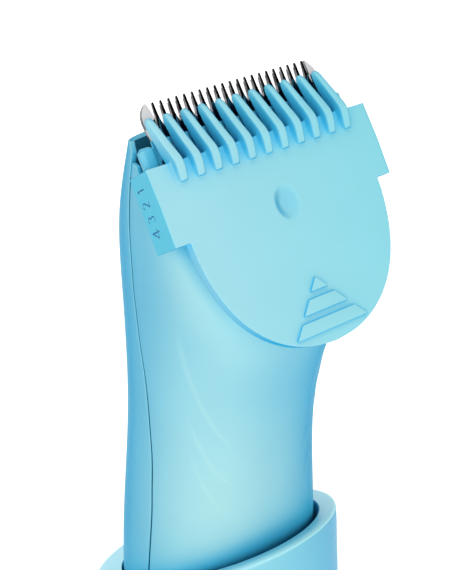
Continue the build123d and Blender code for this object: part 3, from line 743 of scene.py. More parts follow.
# the faces of the rim outside this radius get the paler rim material, painted light
RIM_SHEEN_RADIUS = 21.6                      # rim faces outside this get the rim material
HOLE_CLEARANCE = 0.35
STAND_MATERIALS = ["stand_blue", "stand_rim_lit"]


def rounded_corner(start, corner, end, count):
    """Points after the start of a curve that turns a corner."""
    start, corner, end = np.array(start), np.array(corner), np.array(end)
    return [tuple((1 - t) ** 2 * start + 2 * t * (1 - t) * corner + t * t * end)
            for t in np.linspace(0, 1, count)[1:]]


def stand_section(sine, wall_radius):
    """Radius and z points of the cup wall at one angle, from the floor over the rim."""
    def rim(radius):
        return RIM_CENTRE_Z - RIM_SLOPE * radius * sine

    # where the outer wall meets the rim plane
    levels = np.linspace(STAND_BOTTOM, STAND_TOP, 711)
    gap = levels - rim(wall_radius(levels))
    i = int(np.argmax(gap > 0))
    edge_z = (levels[i - 1] + (levels[i] - levels[i - 1]) * (-gap[i - 1])
              / (gap[i] - gap[i - 1]))
    edge_radius = float(wall_radius(edge_z))

    wall_start = CUP_FLOOR + FLOOR_FILLET
    points = [(0.4, CUP_FLOOR), (6, CUP_FLOOR), (14, CUP_FLOOR),
              (BORE - FLOOR_FILLET, CUP_FLOOR), (BORE - 0.35, CUP_FLOOR + 0.35),
              (BORE, wall_start)]
    bore_top = rim(BORE)
    round_start = bore_top - RIM_INNER_ROUND * 1.4
    for t in np.linspace(0, 1, 26)[1:]:
        points.append((BORE, wall_start + (round_start - wall_start) * t))
    inner = BORE + RIM_INNER_ROUND
    points += rounded_corner((BORE, round_start), (BORE, bore_top), (inner, rim(inner)), 5)
    outer = edge_radius - RIM_OUTER_ROUND
    for t in np.linspace(0, 1, 7)[1:]:
        radius = inner + (outer - inner) * t
        points.append((radius, rim(radius)))
    # wide, soft outer edge
    wall_top = edge_z - (1.9 + 0.5 * max(0, sine))
    points += rounded_corner((outer, rim(outer)), (edge_radius, edge_z),
                             (float(wall_radius(wall_top)), wall_top), 12)
    for t in np.linspace(0, 1, 46)[1:]:
        z = wall_top + (STAND_BOTTOM - wall_top) * t
        points.append((float(wall_radius(z)), z))
    return points + UNDERSIDE


def build_stand():
    wall_radius = spline_through(STAND_WALL[:, 1], STAND_WALL[:, 0])
    turns = 288
    angles = np.linspace(0, 2 * np.pi, turns, endpoint=False)
    sections = np.array([stand_section(math.sin(angle), wall_radius) for angle in angles])
    count = sections.shape[1]
    verts = np.stack([sections[..., 0] * np.cos(angles)[:, None],
                      sections[..., 0] * np.sin(angles)[:, None], sections[..., 1]], -1)
    faces = []
    for i in range(turns):
        here, beside = i * count, (i + 1) % turns * count
        for j in range(count - 1):
            faces.append((here + j, beside + j, beside + j + 1, here + j + 1))
    faces.append(tuple(i * count for i in range(turns))[::-1])
    faces.append(tuple(i * count + count - 1 for i in range(turns)))
    return verts.reshape(-1, 3), faces


def socket_window():
    """Obround cutter through the wall on the +y side."""
    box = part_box("usb_socket")
    half_width = box[1].x / MM + HOLE_CLEARANCE
    radius = (box[1].z - box[0].z) / 2 / MM + HOLE_CLEARANCE
    angles = np.linspace(0, 2 * np.pi, 48, endpoint=False)
    x = np.sign(np.cos(angles)) * (half_width - radius) + radius * np.cos(angles)
    z = middle_mm(box, "z") + radius * np.sin(angles)
    rings = [np.stack([x, np.full(len(x), y), z], -1) for y in (26.0, 40.0)]
    return plain_solid("window", np.concatenate(rings), loft_faces(2, len(x)))


# rim faces that get the paler material with painted light
def on_lit_rim(face):
    centre = face.center / MM
    height = centre.z - (RIM_CENTRE_Z - RIM_SLOPE * centre.y)
    outside = math.hypot(centre.x, centre.y) > RIM_SHEEN_RADIUS
    return outside and abs(height) < 2.0 and face.normal.z > 0.34


stand_verts, stand_faces = build_stand()
stand = make("stand_cup", stand_verts, stand_faces, "stand", ["stand_blue"], "stand_blue",
             "stand_housing")
fix_normals(stand)
stand_cutters = [socket_window()]
for side in ("left", "right"):
    pin_x = middle_mm(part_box("contact_pin_" + side), "x")
    stand_cutters.append(cylinder((pin_x, 0, 11.0), 2, 1.25, 3.0, 40))
cut_away(stand, *stand_cutters)
finish_piece(stand, "stand", STAND_MATERIALS, "stand_blue", "stand_housing",
             face_mat=[1 if on_lit_rim(face) else 0 for face in stand.data.polygons])


# ---------------------------------------------------------------- solids in the head frame
class Solids:
    """Collects closed solids in head coordinates (across, up, out), mm."""

    def __init__(self):
        self.verts, self.faces, self.count = [], [], 0

    def add(self, verts, faces):
        self.verts.append(np.asarray(verts, float))
        self.faces += [tuple(i + self.count for i in face) for face in faces]
        self.count += len(verts)

    def box(self, left, right, low, high, back, front):
        left, right = min(left, right), max(left, right)
        verts = [(across, up, out) for out in (back, front)
                 for across, up in ((left, low), (right, low), (right, high), (left, high))]
        self.add(verts, [(3, 2, 1, 0), (4, 5, 6, 7), (0, 1, 5, 4), (1, 2, 6, 5),
                         (2, 3, 7, 6), (3, 0, 4, 7)])

    def loft(self, rings):
        """Solid through rings with equal point counts."""
        self.add([point for ring in rings for point in ring],
                 loft_faces(len(rings), len(rings[0])))

    def prism(self, outline, back, front):
        """Outline in (across, up), carried from back to front."""
        self.loft([[(across, up, out) for across, up in outline] for out in (back, front)])

    def build(self, name):
        piece = mesh_object(name, np.concatenate(self.verts), self.faces)
        fix_normals(piece)
        return piece

    def remeshed(self, name, voxel, smoothing):
        """The solids joined into one skin and softened."""
        piece = self.build(name)
        modify(piece, "REMESH", mode="VOXEL", voxel_size=voxel, adaptivity=0.0)
        modify(piece, "SMOOTH", factor=0.5, iterations=smoothing)
        return piece

    def bevelled(self, name, width, segments):
        piece = self.build(name)
        modify(piece, "BEVEL", width=width, segments=segments, limit_method="ANGLE",
               angle_limit=math.radians(35))
        return piece


# ---------------------------------------------------------------- comb guard
PLATE_HALF, PLATE_STEP = 21.02, -12.6        # upper band's half width and lower end
PLATE_THICK = 2.1
# +x side of the rounded lower plate: across, up
PLATE_LOBE = np.array([
    (18.45, PLATE_STEP), (18.3, -15.4), (17.8, -18.9), (16.5, -23.3), (14.3, -27.5),
    (11.1, -31.0), (7.6, -33.25), (4.0, -34.45), (0.0, -34.9)])
RIBS, RIB_PITCH = 11, 3.19
# Rib rings: up, back out, front out, half width at front, half width at back
RIB_ROWS = [
    (-3.42, -0.8, 0.02, 0.66, 0.84), (-3.32, -0.8, 0.36, 0.68, 0.88),
    (-3.1, -0.9, 0.50, 0.69, 0.90), (-2.2, -1.0, 0.80, 0.71, 0.93),
    (-1.4, -1.2, 1.03, 0.73, 0.95), (-0.7, -1.5, 1.17, 0.74, 0.93),
    (-0.2, -1.86, 1.21, 0.74, 0.90), (0.3, -1.95, 1.14, 0.74, 0.88),
    (0.8, -2.05, 0.98, 0.73, 0.87), (1.4, -2.18, 0.70, 0.71, 0.87),
    (2.4, -2.4, 0.20, 0.68, 0.87), (3.8, -2.68, -0.50, 0.63, 0.87),
    (5.2, -2.92, -1.14, 0.57, 0.87), (6.3, -3.06, -1.66, 0.52, 0.86),
    (7.0, -3.12, -2.02, 0.47, 0.80), (7.45, -3.08, -2.34, 0.38, 0.66),
    (7.74, -2.92, -2.62, 0.24, 0.44)]
FLANGE_INNER, FLANGE_OUTER = 20.07, 21.17    # distance of the flange faces from the middle
# Raised marks low on the plate, a triangle over two bars: (across, up) outlines
MARKS = [
    [(0, -24.15), (-1.72, -26.2), (1.72, -26.2)],
    [(-2.5, -27.28), (-4.38, -29.5), (4.38, -29.5), (2.5, -27.28)],
    [(-5.22, -30.62), (-7.1, -32.78), (7.1, -32.78), (5.22, -30.62)]]


def plate_outline():
    length = np.concatenate([[0], np.cumsum(np.hypot(*np.diff(PLATE_LOBE, axis=0).T))])
    even = np.linspace(0, length[-1], 60)
    right = list(zip(*(spline_through(length, PLATE_LOBE[:, k])(even) for k in (0, 1))))
    left = [(-across, up) for across, up in right[::-1]][1:]
    return [(-PLATE_HALF, PLATE_STEP), (-PLATE_HALF, 0.0), (PLATE_HALF, 0.0),
            (PLATE_HALF, PLATE_STEP)] + right + left


def plate_relief(across, up):
    """Shift of the front face: the upper band leans back, a round dimple sits below it."""
    lean = -0.07 * np.clip(up + 6.4, 0, None)
    spread = ((across - 0.12) / 2.5) ** 2 + ((up + 11.5) / 3.3) ** 2
    return lean - 0.92 * (0.5 + 0.5 * np.cos(np.pi * np.clip(spread ** 0.75, 0, 1)))


def rib_ring(i, up, back, front, half_front, half_back):
    """One ring of rib i; the ribs lean a little towards -x as they rise."""
    chamfer = min(0.16, (front - back) * 0.3)
    across = ((i - (RIBS - 1) / 2) * RIB_PITCH - 0.30 * float(smooth_step(1.0, 7.5, up))
              - 0.36 * (1 - i / (RIBS - 1)) * float(smooth_step(-1.6, 2.5, up)))
    slant = (half_back - half_front) / max(front - back, 0.2)
    half = [(half_back - 0.06, back), (half_back, back + 0.08),
            (half_front + slant * chamfer * 1.6, front - chamfer * 1.6),
            (half_front - chamfer * 0.35, front - chamfer * 0.45),
            (half_front - chamfer * 1.3, front)]
    return ([(across - offset, up, out) for offset, out in half]
            + [(across + offset, up, out) for offset, out in half[::-1]])


def build_guard():
    solids = Solids()
    solids.prism(plate_outline(), -PLATE_THICK, 0.0)
    for i in range(RIBS):
        solids.loft([rib_ring(i, *row) for row in RIB_ROWS])
    solids.box(-2.4, 2.4, -9.3, -8.7, -2.3, -1.6)
    piece = solids.remeshed("comb_guard_moulding", voxel=0.13, smoothing=3)
    points = get_points(piece.data)
    across, up, out = points.T           # views, so out follows the changes to points
    # the relief moves the front face fully and the back face not at all
    share = (smooth_step(-PLATE_THICK + 0.1, -0.6, out) * (1 - smooth_step(0.1, 0.55, out))
             * (1 - smooth_step(0.02, 0.4, up)))
    points[:, 2] += plate_relief(across, np.minimum(up, 0)) * share
    # soft fillets either side of each rib foot
    near = np.abs(((across / RIB_PITCH) + 0.5) % 1.0 - 0.5) * RIB_PITCH
    face = smooth_step(-0.35, -0.05, out) * (1 - smooth_step(0.35, 0.6, out))
    fillet = (0.34 * np.exp(-((np.clip(near - 0.78, 0, None)) / 0.34) ** 2)
              * smooth_step(-3.9, -1.6, up) * (np.abs(across) < 17.4))
    points[:, 2] += np.where((up < 0.2) & (near > 0.72),
                             fillet * face * np.clip(0.25 - out, 0, 0.3) / 0.3, 0.0)
    set_points(piece.data, points)
    return piece


def arc(centre_x, centre_y, radius, start, end, steps=12):
    angles = [math.radians(start + (end - start) * i / steps) for i in range(steps + 1)]
    return [(centre_x + radius * math.cos(angle), centre_y + radius * math.sin(angle))
            for angle in angles]


# Strokes of each figure in a cell about 2 high, centred on 0, 0
DIGITS = {
    "1": [[(-0.25, 0.72), (0.12, 1.0), (0.12, -1.0)]],
    "2": [arc(0, 0.48, 0.52, 160, -35) + [(-0.5, -1.0), (0.56, -1.0)]],
    "3": [arc(0, 0.5, 0.48, 150, -80), arc(0, -0.5, 0.52, 80, -150)],
    "4": [[(0.86, -0.46), (-0.86, -0.46), (0.34, 1.05), (0.34, -1.0)]],
}


def digit_segments():
    """Stroke segments on the flange: figure up is towards the back, figure right is up."""
    segments = []
    for k, digit in enumerate("1234"):
        centre_up, centre_out = -(2.42 + 2.33 * k), -4.7
        for line in DIGITS[digit]:
            points = [(centre_up + x * 0.83, centre_out - y * 1.26) for x, y in line]
            segments += list(zip(points[:-1], points[1:]))
    return segments


def segment_distance(up, out, segments):
    distance = np.full(up.shape, 9.0)
    for (up_0, out_0), (up_1, out_1) in segments:
        run, rise = up_1 - up_0, out_1 - out_0
        t = ((up - up_0) * run + (out - out_0) * rise) / (run * run + rise * rise + 1e-12)
        t = np.clip(t, 0, 1)
        distance = np.minimum(distance, np.hypot(up - up_0 - t * run, out - out_0 - t * rise))
    return distance


def carved_flange(side):
    """Side flange; the -x one carries engraved figures on its outer face."""
    rows, cols = (260, 150) if side < 0 else (60, 36)
    # close stations at the borders carry the rounded edges
    ups = np.concatenate([[-12.58, -12.56, -12.52, -12.46], np.linspace(-12.38, -0.12, rows),
                          [-0.06, -0.02, 0.0]])
    outs = np.concatenate([[-7.1, -7.08, -7.04, -6.99], np.linspace(-6.92, -0.15, cols),
                           [-0.08, -0.03, 0.0]])
    depth = -outs[0]
    up, out = np.meshgrid(ups, outs, indexing="ij")
    border = np.minimum(np.minimum(up - ups[0], -up), np.minimum(out + depth, -out))
    cut = np.zeros_like(up)
    if side < 0:
        distance = segment_distance(up, out, digit_segments())
        cut = 0.15 * (1 - smooth_step(0.04, 0.15, distance))
    face = side * (FLANGE_OUTER - rounding(0.12, border) - cut)
    count = len(outs)
    verts = []
    for i, level in enumerate(ups):
        top = float(plate_relief(21.0, min(level, 0.0)))
        stretch = (depth + top) / depth
        verts.append((side * FLANGE_INNER, level, -depth))
        verts += [(face[i, j], level, -depth + (outs[j] + depth) * stretch)
                  for j in range(count)]
        verts += [(side * 20.86, level, top - 0.03), (side * 20.5, level, top - 0.35),
                  (side * FLANGE_INNER, level, -2.0)]
    ring = count + 4
    # faces inside the engraved strokes get the darker groove colour, painted shade
    groove_shaded = np.zeros((len(ups) - 1, ring), int)
    groove_shaded[:, 1:count] = (cut[:-1, :-1] + cut[1:, :-1] + cut[:-1, 1:] + cut[1:, 1:]) / 4 > 0.05
    piece = mesh_object("flange", verts, loft_faces(len(ups), ring))
    piece.data.materials.append(MATS["comb_side_shaded"])
    piece.data.materials.append(MATS["digit_groove_shade"])
    piece.data.polygons.foreach_set("material_index", groove_shaded.ravel().tolist() + [0, 0])
    fix_normals(piece)
    return piece


def guard_slot(face, names):
    """Guard material index: 1 painted shade in the engraved figures, 2 painted shade on the
    flange sides, 0 the rest.
    """
    name = names[face.material_index] if face.material_index < len(names) else ""
    if name == "digit_groove_shade":
        return 1
    return 2 if name == "comb_side_shaded" and abs(face.normal.x) > 0.7 else 0


def merge(target, others):
    """Adds the other meshes to the target and returns the guard material indices."""
    verts, faces, marks, base = [], [], [], 0
    for piece in [target] + others:
        mesh = piece.data
        verts.append(get_points(mesh))
        names = [material.name if material else "" for material in mesh.materials]
        for face in mesh.polygons:
            faces.append(tuple(i + base for i in face.vertices))
            marks.append(guard_slot(face, names))
        base += len(mesh.vertices)
    merged = bpy.data.meshes.new("merged")
    merged.from_pydata(np.concatenate(verts).tolist(), [], faces)
    merged.update()
    old = target.data
    target.data = merged
    bpy.data.meshes.remove(old)
    drop(*others)
    return marks


def guard_bars():
    """A short bar on the inside of each flange."""
    solids = Solids()
    for side in (-1, 1):
        solids.box(side * 19.1, side * 20.3, -12.15, -8.25, -5.86, -4.94)
    return solids.bevelled("bars", width=0.08, segments=2)


def guard_marks():
    solids = Solids()
    for outline in MARKS:
        solids.prism(outline, -0.3, 0.42)
    return solids.bevelled("marks", width=0.13, segments=3)


guard = build_guard()
bars = guard_bars()
guard_indices = merge(guard, [carved_flange(-1), carved_flange(1), bars, guard_marks()])
to_row(guard)
finish_piece(guard, "guard", ["comb_blue", "digit_groove_shade", "comb_side_shaded"], "comb_blue",
             "comb_guard", face_mat=guard_indices, sharp=50)


# ---------------------------------------------------------------- blade carrier
def rounded_block(solids, left, right, low, high, back, front, radius):
    """Block with rounded front corners and a rounded top."""
    rings = []
    for up in np.linspace(low, high, 14):
        t = max(0.0, (up - (high - radius)) / radius)
        inset = radius * (1 - math.sqrt(max(0.0, 1 - t * t)))
        centre, half = (left + right) / 2, abs(right - left) / 2 - inset * 0.6
        corner = min(radius, half * 0.7)
        arc_out = front - inset - corner
        ring = []
        for side, start, end in ((-1, 180, 90), (1, 90, 0)):
            for angle in np.radians(np.linspace(start, end, 6)):
                ring.append((centre + side * (half - corner) + corner * math.cos(angle), up,
                             arc_out + corner * math.sin(angle)))
        ring += [(centre + half, up, back + inset * 0.5), (centre - half, up, back + inset * 0.5)]
        rings.append(ring)
    solids.loft(rings)


def build_carrier():
    solids = Solids()
    bottom, back, front = -3.95, -7.35, -3.3
    solids.box(-17.3, 17.3, 0.95, 4.3, -3.6, -3.44)
    for side in (-1, 1):
        solids.box(side * 16.45, side * 16.95, -3.9, 1.5, -3.64, -3.42)
    for side in (-1, 1):
        left, right = sorted((side * 16.85, side * 19.6))
        rounded_block(solids, left, right, bottom, 3.75, -4.85, -3.26, radius=0.8)
        solids.box(side * 16.9, side * 18.3, bottom, 2.2, back, -4.6)
        solids.box(side * 3.45, side * 16.9, bottom, 1.2, back, -6.35)
        solids.box(side * 14.95, side * 17.0, -3.9, 0.2, -5.2, -4.32)
        solids.box(side * 3.45, side * 17.2, bottom, -2.65, back, front)
    solids.box(-4.0, 4.0, bottom, -2.65, -4.15, front)
    # fine upright ridges across the thin strip
    for k in range(-35, 36):
        across = k * 0.47
        solids.box(across - 0.13, across + 0.13, 1.0, 4.28, -3.55, -3.24)
    return solids.remeshed("blade_carrier_moulding", voxel=0.085, smoothing=2)


carrier = build_carrier()
to_row(carrier)
finish_piece(carrier, "blade_head", ["carrier_blue"], "comb_blue", "blade_carrier", sharp=55)

# ---------------------------------------------------------------- blades
TOOTH_PITCH = 1.45
TOOTH_OVERLAP = 0.35             # each tooth starts this far inside its plate
TOOTH_CROWN = 0.03
TOOTH_FLARE = 0.045              # widening per mm below the tip of a flared tooth
# Tooth stations: fraction of the length, factor on the half width
TOOTH_STATIONS = ([(t, 1.0) for t in np.linspace(0, 0.9, 10)]
                  + [(0.95, 0.95), (0.985, 0.75), (1.0, 0.35)])
FIXED_LOW, FIXED_ROOT = -2.4, 6.2
MOVING_LOW, MOVING_ROOT, MOVING_TIP = -1.9, 5.95, 9.5
NOTCH_RADIUS, NOTCH_EDGE = 0.99, 0.97
# Borders of the large end teeth: distance from the middle, up
LOBE_OUTER_LEFT = [
    (16.6, FIXED_LOW), (16.7, 2.0), (16.82, 3.9), (17.02, 5.0), (17.22, 6.2), (17.3, 7.2),
    (17.26, 8.0), (17.1, 8.7), (16.78, 9.3), (16.35, 9.8), (15.95, 10.12), (15.72, 10.18)]
LOBE_OUTER_RIGHT = [
    (16.6, FIXED_LOW), (16.66, 2.0), (16.7, 3.9), (16.8, 5.0), (16.82, 6.2), (16.74, 7.2),
    (16.52, 8.1), (16.12, 8.9), (15.7, 9.4), (15.3, 9.8), (14.96, 10.04)]
LOBE_INNER_LEFT = [(15.6, 10.0), (15.38, 9.2), (15.2, 8.4), (15.04, 7.6)]
LOBE_INNER_RIGHT = [(14.9, 9.9), (14.94, 9.2), (14.98, 8.2)]
# The light tip and the shank below it meet on a line from outer to inner border
LOBE_SPLIT_OUTER_UP, LOBE_SPLIT_INNER = 6.3, (15.02, 7.6)
# Material index by how far a face turns outward: (more than, index), else EDGE_INDEX
PLATE_RULE, LOBE_RULE, SHANK_RULE = [(0.8, 0)], [(0.85, 1)], [(0.85, 0), (0.3, 1)]
EDGE_INDEX = 2


def add_tooth(solids, across, root, tip, back, front, root_half, tip_half, flared=False):
    """A tooth that narrows and thins towards its tip."""
    rings = []
    reach = tip - root
    for t, narrowing in TOOTH_STATIONS:
        up = root - TOOTH_OVERLAP + (reach + TOOTH_OVERLAP) * t
        rest = (1 - t) * (reach + TOOTH_OVERLAP)
        if flared:
            half = (tip_half + TOOTH_FLARE * rest
                    + (root_half - tip_half - TOOTH_FLARE * reach) * (rest / reach) ** 5)
        else:
            half = tip_half + (root_half - tip_half) * (1 - t ** 0.8)
        half *= narrowing
        rear = front - (front - back) * (1 - 0.5 * max(0.0, t - 0.3) / 0.7)
        crown = TOOTH_CROWN * min(1.0, t * 3)
        section = [(-half, rear), (-half, front - crown - 0.04),
                   (-half * 0.86, front - crown * 0.5), (-half * 0.3, front)]
        rings.append([(across + offset, up, out) for offset, out in section]
                     + [(across - offset, up, out) for offset, out in section[::-1]])
    solids.loft(rings)


def add_teeth(solids, count, *shape, **options):
    for i in range(count):
        add_tooth(solids, (i - (count - 1) / 2) * TOOTH_PITCH, *shape, **options)


def add_plate(solids, stations, lows, high, back, front, edge=0.05):
    """Plate with a straight top and a lower border that may vary; front edges broken."""
    lows = np.broadcast_to(lows, stations.shape)
    solids.loft([[(across, low, back), (across, low, front - edge), (across, low + edge, front),
                  (across, high - edge, front), (across, high, front - edge),
                  (across, high, back)] for across, low in zip(stations, lows)])


def add_lobe(solids, side, outline, edge):
    """Flat end-tooth part, its front narrowed by edge on both sides."""
    outline = [(side * distance, up) for distance, up in outline]
    centre = sum(across for across, up in outline) / len(outline)
    narrow = [(across + max(-edge, min(edge, centre - across)), up) for across, up in outline]
    solids.loft([[(across, up, out) for across, up in border] for border, out in (
        (outline, FIXED_BACK), (outline, FIXED_FRONT - edge), (narrow, FIXED_FRONT + 0.005))])


def end_teeth():
    """The light tips and the shanks of the two end teeth."""
    lobes, shanks = Solids(), Solids()
    for side, outer, inner in ((-1, LOBE_OUTER_LEFT, LOBE_INNER_LEFT),
                               (1, LOBE_OUTER_RIGHT, LOBE_INNER_RIGHT)):
        upper = [point for point in outer if point[1] >= LOBE_SPLIT_OUTER_UP]
        lower = outer[:len(outer) - len(upper)]
        (below, below_up), (above, above_up) = lower[-1], upper[0]
        t = (LOBE_SPLIT_OUTER_UP - below_up) / (above_up - below_up)
        split = (below + t * (above - below), LOBE_SPLIT_OUTER_UP)
        add_lobe(lobes, side, [split] + upper + inner + [LOBE_SPLIT_INNER], edge=0.06)
        shank = lower + [split, LOBE_SPLIT_INNER, (14.98, 4.0), (14.98, FIXED_LOW)]
        add_lobe(shanks, side, shank, edge=0.16)
    return lobes, shanks


def steel(name, parts, body, materials, node):
    """A blade from (solids, rule) parts, each face's material chosen by the part's rule."""
    verts, faces, marks, base = [], [], [], 0
    for solids, rule in parts:
        points = np.concatenate(solids.verts)
        piece = plain_solid("part", head_to_row(*points.T), solids.faces)
        verts.append(get_points(piece.data) / MM)
        for face in piece.data.polygons:
            faces.append(tuple(i + base for i in face.vertices))
            outward = -face.normal.y * COS_TILT + face.normal.z * SIN_TILT
            marks.append(next((index for limit, index in rule if outward > limit), EDGE_INDEX))
        base += len(piece.data.vertices)
        drop(piece)
    make(name, np.concatenate(verts), faces, body, materials, "blade_steel", node,
         face_mat=marks, sharp=28)


fixed = Solids()
add_plate(fixed, np.linspace(-15.2, 15.2, 40), FIXED_LOW, FIXED_ROOT, FIXED_BACK, FIXED_FRONT)
add_teeth(fixed, 21, FIXED_ROOT, FIXED_TIP, FIXED_BACK, FIXED_FRONT,
          root_half=0.70, tip_half=0.17, flared=True)
tips, tip_shanks = end_teeth()
steel("fixed_blade_plate", [(fixed, PLATE_RULE), (tips, LOBE_RULE), (tip_shanks, SHANK_RULE)],
      "blade_head", ["blade_dark", "blade_light", "blade_edge"], "fixed_blade")

# The moving blade's middle has a round-topped notch in its lower border
moving = Solids()
notch = np.linspace(-NOTCH_RADIUS, NOTCH_RADIUS, 15)
notch_top = np.sqrt(np.maximum(NOTCH_RADIUS ** 2 - notch ** 2, 0))
for stations, lows in ((np.linspace(-13.55, -NOTCH_EDGE, 16), MOVING_LOW),
                       (np.linspace(NOTCH_EDGE, 13.55, 16), MOVING_LOW),
                       (notch, notch_top)):
    add_plate(moving, stations, lows, MOVING_ROOT, MOVING_BACK, MOVING_FRONT)
add_teeth(moving, 19, MOVING_ROOT, MOVING_TIP, MOVING_BACK, MOVING_FRONT,
          root_half=0.46, tip_half=0.15)
steel("moving_blade_plate", [(moving, PLATE_RULE)], "cutter", ["blade_cutter"],
      "moving_blade")

# ---------------------------------------------------------------- contact pin springs
WIRE_RADIUS = 0.11
COIL_TURNS, COIL_STEPS, WIRE_SIDES = 5.0, 28, 8


def build_pin_coil(side):
    """Coil with flat end turns."""
    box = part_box("pin_spring_" + side)
    centre_x, centre_y = middle_mm(box, "x"), middle_mm(box, "y")
    radius = (box[1].x - box[0].x) / 2 / MM - WIRE_RADIUS
    low, high = box[0].z / MM + WIRE_RADIUS, box[1].z / MM - WIRE_RADIUS
    steps = int(COIL_TURNS * COIL_STEPS)
    verts = []
    for k in range(steps + 1):
        t = k / steps
        climb = min(1.0, max(0.0, (t - 0.1) / 0.8))
        angle = 2 * math.pi * COIL_TURNS * t
        radial = np.array([math.cos(angle), math.sin(angle), 0.0])
        centre = np.array([centre_x, centre_y, low + (high - low) * climb]) + radius * radial
        for i in range(WIRE_SIDES):
            turn = 2 * math.pi * i / WIRE_SIDES
            upright = np.array([0.0, 0.0, math.sin(turn)])
            verts.append(centre + WIRE_RADIUS * (math.cos(turn) * radial + upright))
    coil = make("pin_coil_" + side, verts, loft_faces(steps + 1, WIRE_SIDES), "stand",
                ["spring_steel"], "spring_steel", "pin_spring_" + side, sharp=60)
    fix_normals(coil)
    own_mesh(coil)


for side in ("left", "right"):
    build_pin_coil(side)

# ---------------------------------------------------------------- CAD pieces kept as they are
CAD_MATERIALS = {
    "casing_blue": "bottom_cap",
    "seal_rubber": "bottom_seal button_seal drive_gasket",
    "contact_brass": "charge_contacts battery_tabs contact_pin_left contact_pin_right "
                     "pin_barrel_left pin_barrel_right",
    "frame_grey": "inner_chassis board_spacers board_chips tact_switch motor_endcap",
    "screw_steel": "chassis_screws blade_screws stand_screws",
    "cell_wrap": "battery_cell",
    "board_green": "circuit_board contact_board socket_board",
    "lens_clear": "status_lens",
    "button_blue": "power_button",
    "motor_steel": "motor_can motor_armature motor_shaft",
    "magnet_black": "motor_magnets",
    "drive_white": "eccentric_cam drive_yoke",
    "wire_cover": "battery_wires motor_wires charge_wires stand_wires",
    "spring_steel": "blade_springs",
    "base_blue": "stand_base",
    "foot_rubber": "stand_feet",
    "weight_steel": "stand_weight",
    "socket_metal": "usb_socket",
}
for material_name, nodes in CAD_MATERIALS.items():
    for node in nodes.split():
        piece = frame["nodes"][node]
        if not piece.material_slots:
            piece.data.materials.append(MATS[material_name])
        for material_slot in piece.material_slots:
            material_slot.material = MATS[material_name]

# ---------------------------------------------------------------- world
world = bpy.data.worlds.new("studio")
bpy.context.scene.world = world
world.use_nodes = True
sky = world.node_tree
sky_coords = sky.nodes.new("ShaderNodeTexCoord")


def sky_patch(direction, low, high, start, end):
    """Brightness from low to high as the cosine to a direction goes from start to end."""
    dot = sky.nodes.new("ShaderNodeVectorMath")
    dot.operation = "DOT_PRODUCT"
    dot.inputs[1].default_value = Vector(direction).normalized()
    sky.links.new(sky_coords.outputs["Generated"], dot.inputs[0])
    return remap(sky, dot.outputs["Value"], low, high, start, end, kind="SMOOTHSTEP")


def sky_cone(direction, low, high, outer, inner):
    """Sky patch between two cone angles in degrees."""
    return sky_patch(direction, low, high, math.cos(math.radians(outer)),
                     math.cos(math.radians(inner)))


def build_sky():
    """Soft light from the upper left front; reflections also see three shaped patches."""
    soft = sky_patch((-0.55, -0.40, 0.75), low=0.34, high=0.84, start=-0.7, end=1.0)
    # dark card reflected in the blades, placed by across, up and out in the head frame
    across, up, out = 0.465, -0.0275, 0.885
    card_direction = (across, up * SIN_TILT - out * COS_TILT, up * COS_TILT + out * SIN_TILT)
    card = sky_cone(card_direction, low=1.0, high=0.004, outer=30, inner=22)
    glossy = sky.nodes.new("ShaderNodeLightPath").outputs["Is Glossy Ray"]
    glow = sky_cone((0.02, -0.82, 0.57), low=1.0, high=3.2, outer=48, inner=12)
    rear = sky_cone((0.75, 0.62, 0.12), low=0.0, high=0.9, outer=50, inner=15)
    reflected = math_node(sky, "ADD", math_node(sky, "MULTIPLY", soft, 0.75), rear)
    reflected = math_node(sky, "MULTIPLY", reflected, card)
    reflected = math_node(sky, "MULTIPLY", reflected, glow)
    seen = math_node(sky, "MULTIPLY", reflected, glossy)
    lit = math_node(sky, "MULTIPLY", soft, math_node(sky, "SUBTRACT", 1.0, glossy))
    background = sky.nodes["Background"]
    background.inputs[0].default_value = (1, 1, 1, 1)
    sky.links.new(math_node(sky, "ADD", seen, lit), background.inputs[1])


build_sky()

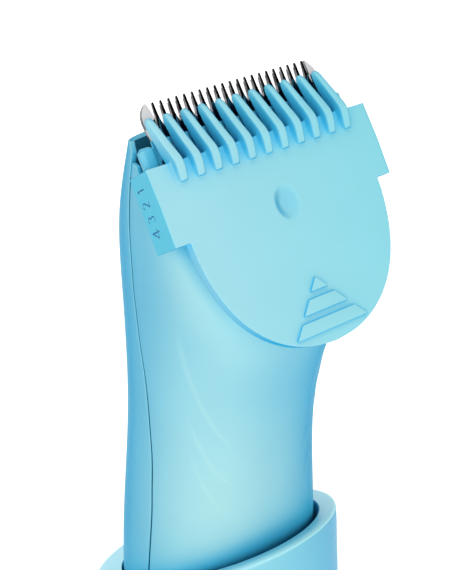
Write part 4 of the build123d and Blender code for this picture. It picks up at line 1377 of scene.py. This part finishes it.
# ---------------------------------------------------------------- floor and lights
FLOOR_SIZE, FLOOR_CELLS = 3.2, 24        # metres, cells per side
steps = [-1.6 + FLOOR_SIZE * i / FLOOR_CELLS for i in range(FLOOR_CELLS + 1)]
floor = mesh_object("floor", [(x, y, 0.0) for y in steps for x in steps],
                    grid_faces(FLOOR_CELLS + 1, FLOOR_CELLS + 1))
floor_tree, floor_shader = new_material("floor_white")
floor_colour = mix(floor_tree, noise(floor_tree, scale=6.0), (0.94, 0.94, 0.94),
                   (0.96, 0.96, 0.96))
floor_tree.links.new(floor_colour, floor_shader.inputs["Base Color"])
floor_shader.inputs["Emission Color"].default_value = (1, 1, 1, 1)
floor_shader.inputs["Emission Strength"].default_value = 0.52
floor_shader.inputs["Roughness"].default_value = 0.8
floor.data.materials.append(MATS["floor_white"])


def area_light(name, location, size, power):
    """Square white light aimed at the middle of the product."""
    data = bpy.data.lights.new(name, "AREA")
    data.energy = power
    data.color = (1, 1, 1)
    data.shape = "RECTANGLE"
    data.size = data.size_y = size
    lamp = bpy.data.objects.new(name, data)
    bpy.context.scene.collection.objects.link(lamp)
    lamp.location = location
    aim = Vector((0, 0, (CAD_BOX[0][2] + CAD_BOX[1][2]) / 2)) - Vector(location)
    lamp.rotation_euler = aim.to_track_quat("-Z", "Y").to_euler()


area_light("key", (-0.31, -0.59, 0.57), size=0.34, power=0.84)
area_light("fill", (0.55, -0.35, 0.30), size=0.4, power=0.12)
area_light("top", (-0.1, 0.15, 1.0), size=0.5, power=1.3)
area_light("back", (0.1, 0.9, 0.62), size=0.7, power=0.9)

# ---------------------------------------------------------------- camera
CAMERA_FROM_HEAD = np.array([-91.892, -123.170, 82.901])     # mm from the head's origin
CAMERA_FORWARD = np.array([0.46514, 0.65826, -0.59189])
CAMERA_UP = np.array([0.31811, 0.49967, 0.80569])            # squared to forward below


def add_camera():
    data = bpy.data.cameras.new("camera")
    camera = bpy.data.objects.new("camera", data)
    bpy.context.scene.collection.objects.link(camera)
    location = (CAMERA_FROM_HEAD + np.array([0, HEAD_Y, HEAD_Z])) * MM
    up = CAMERA_UP - CAMERA_FORWARD * (CAMERA_UP @ CAMERA_FORWARD)
    up /= np.linalg.norm(up)
    right = np.cross(CAMERA_FORWARD, up)
    rows = [[right[i], up[i], -CAMERA_FORWARD[i], location[i]] for i in range(3)]
    camera.matrix_world = Matrix(rows + [[0, 0, 0, 1]])
    data.sensor_width = 36.0
    data.sensor_fit = "AUTO"
    data.lens = 68.835158
    data.clip_start = 0.01
    data.clip_end = 10
    bpy.context.scene.camera = camera


add_camera()
view = bpy.context.scene.view_settings
view.view_transform = "Standard"
view.look = "None"
view.exposure = 0.0
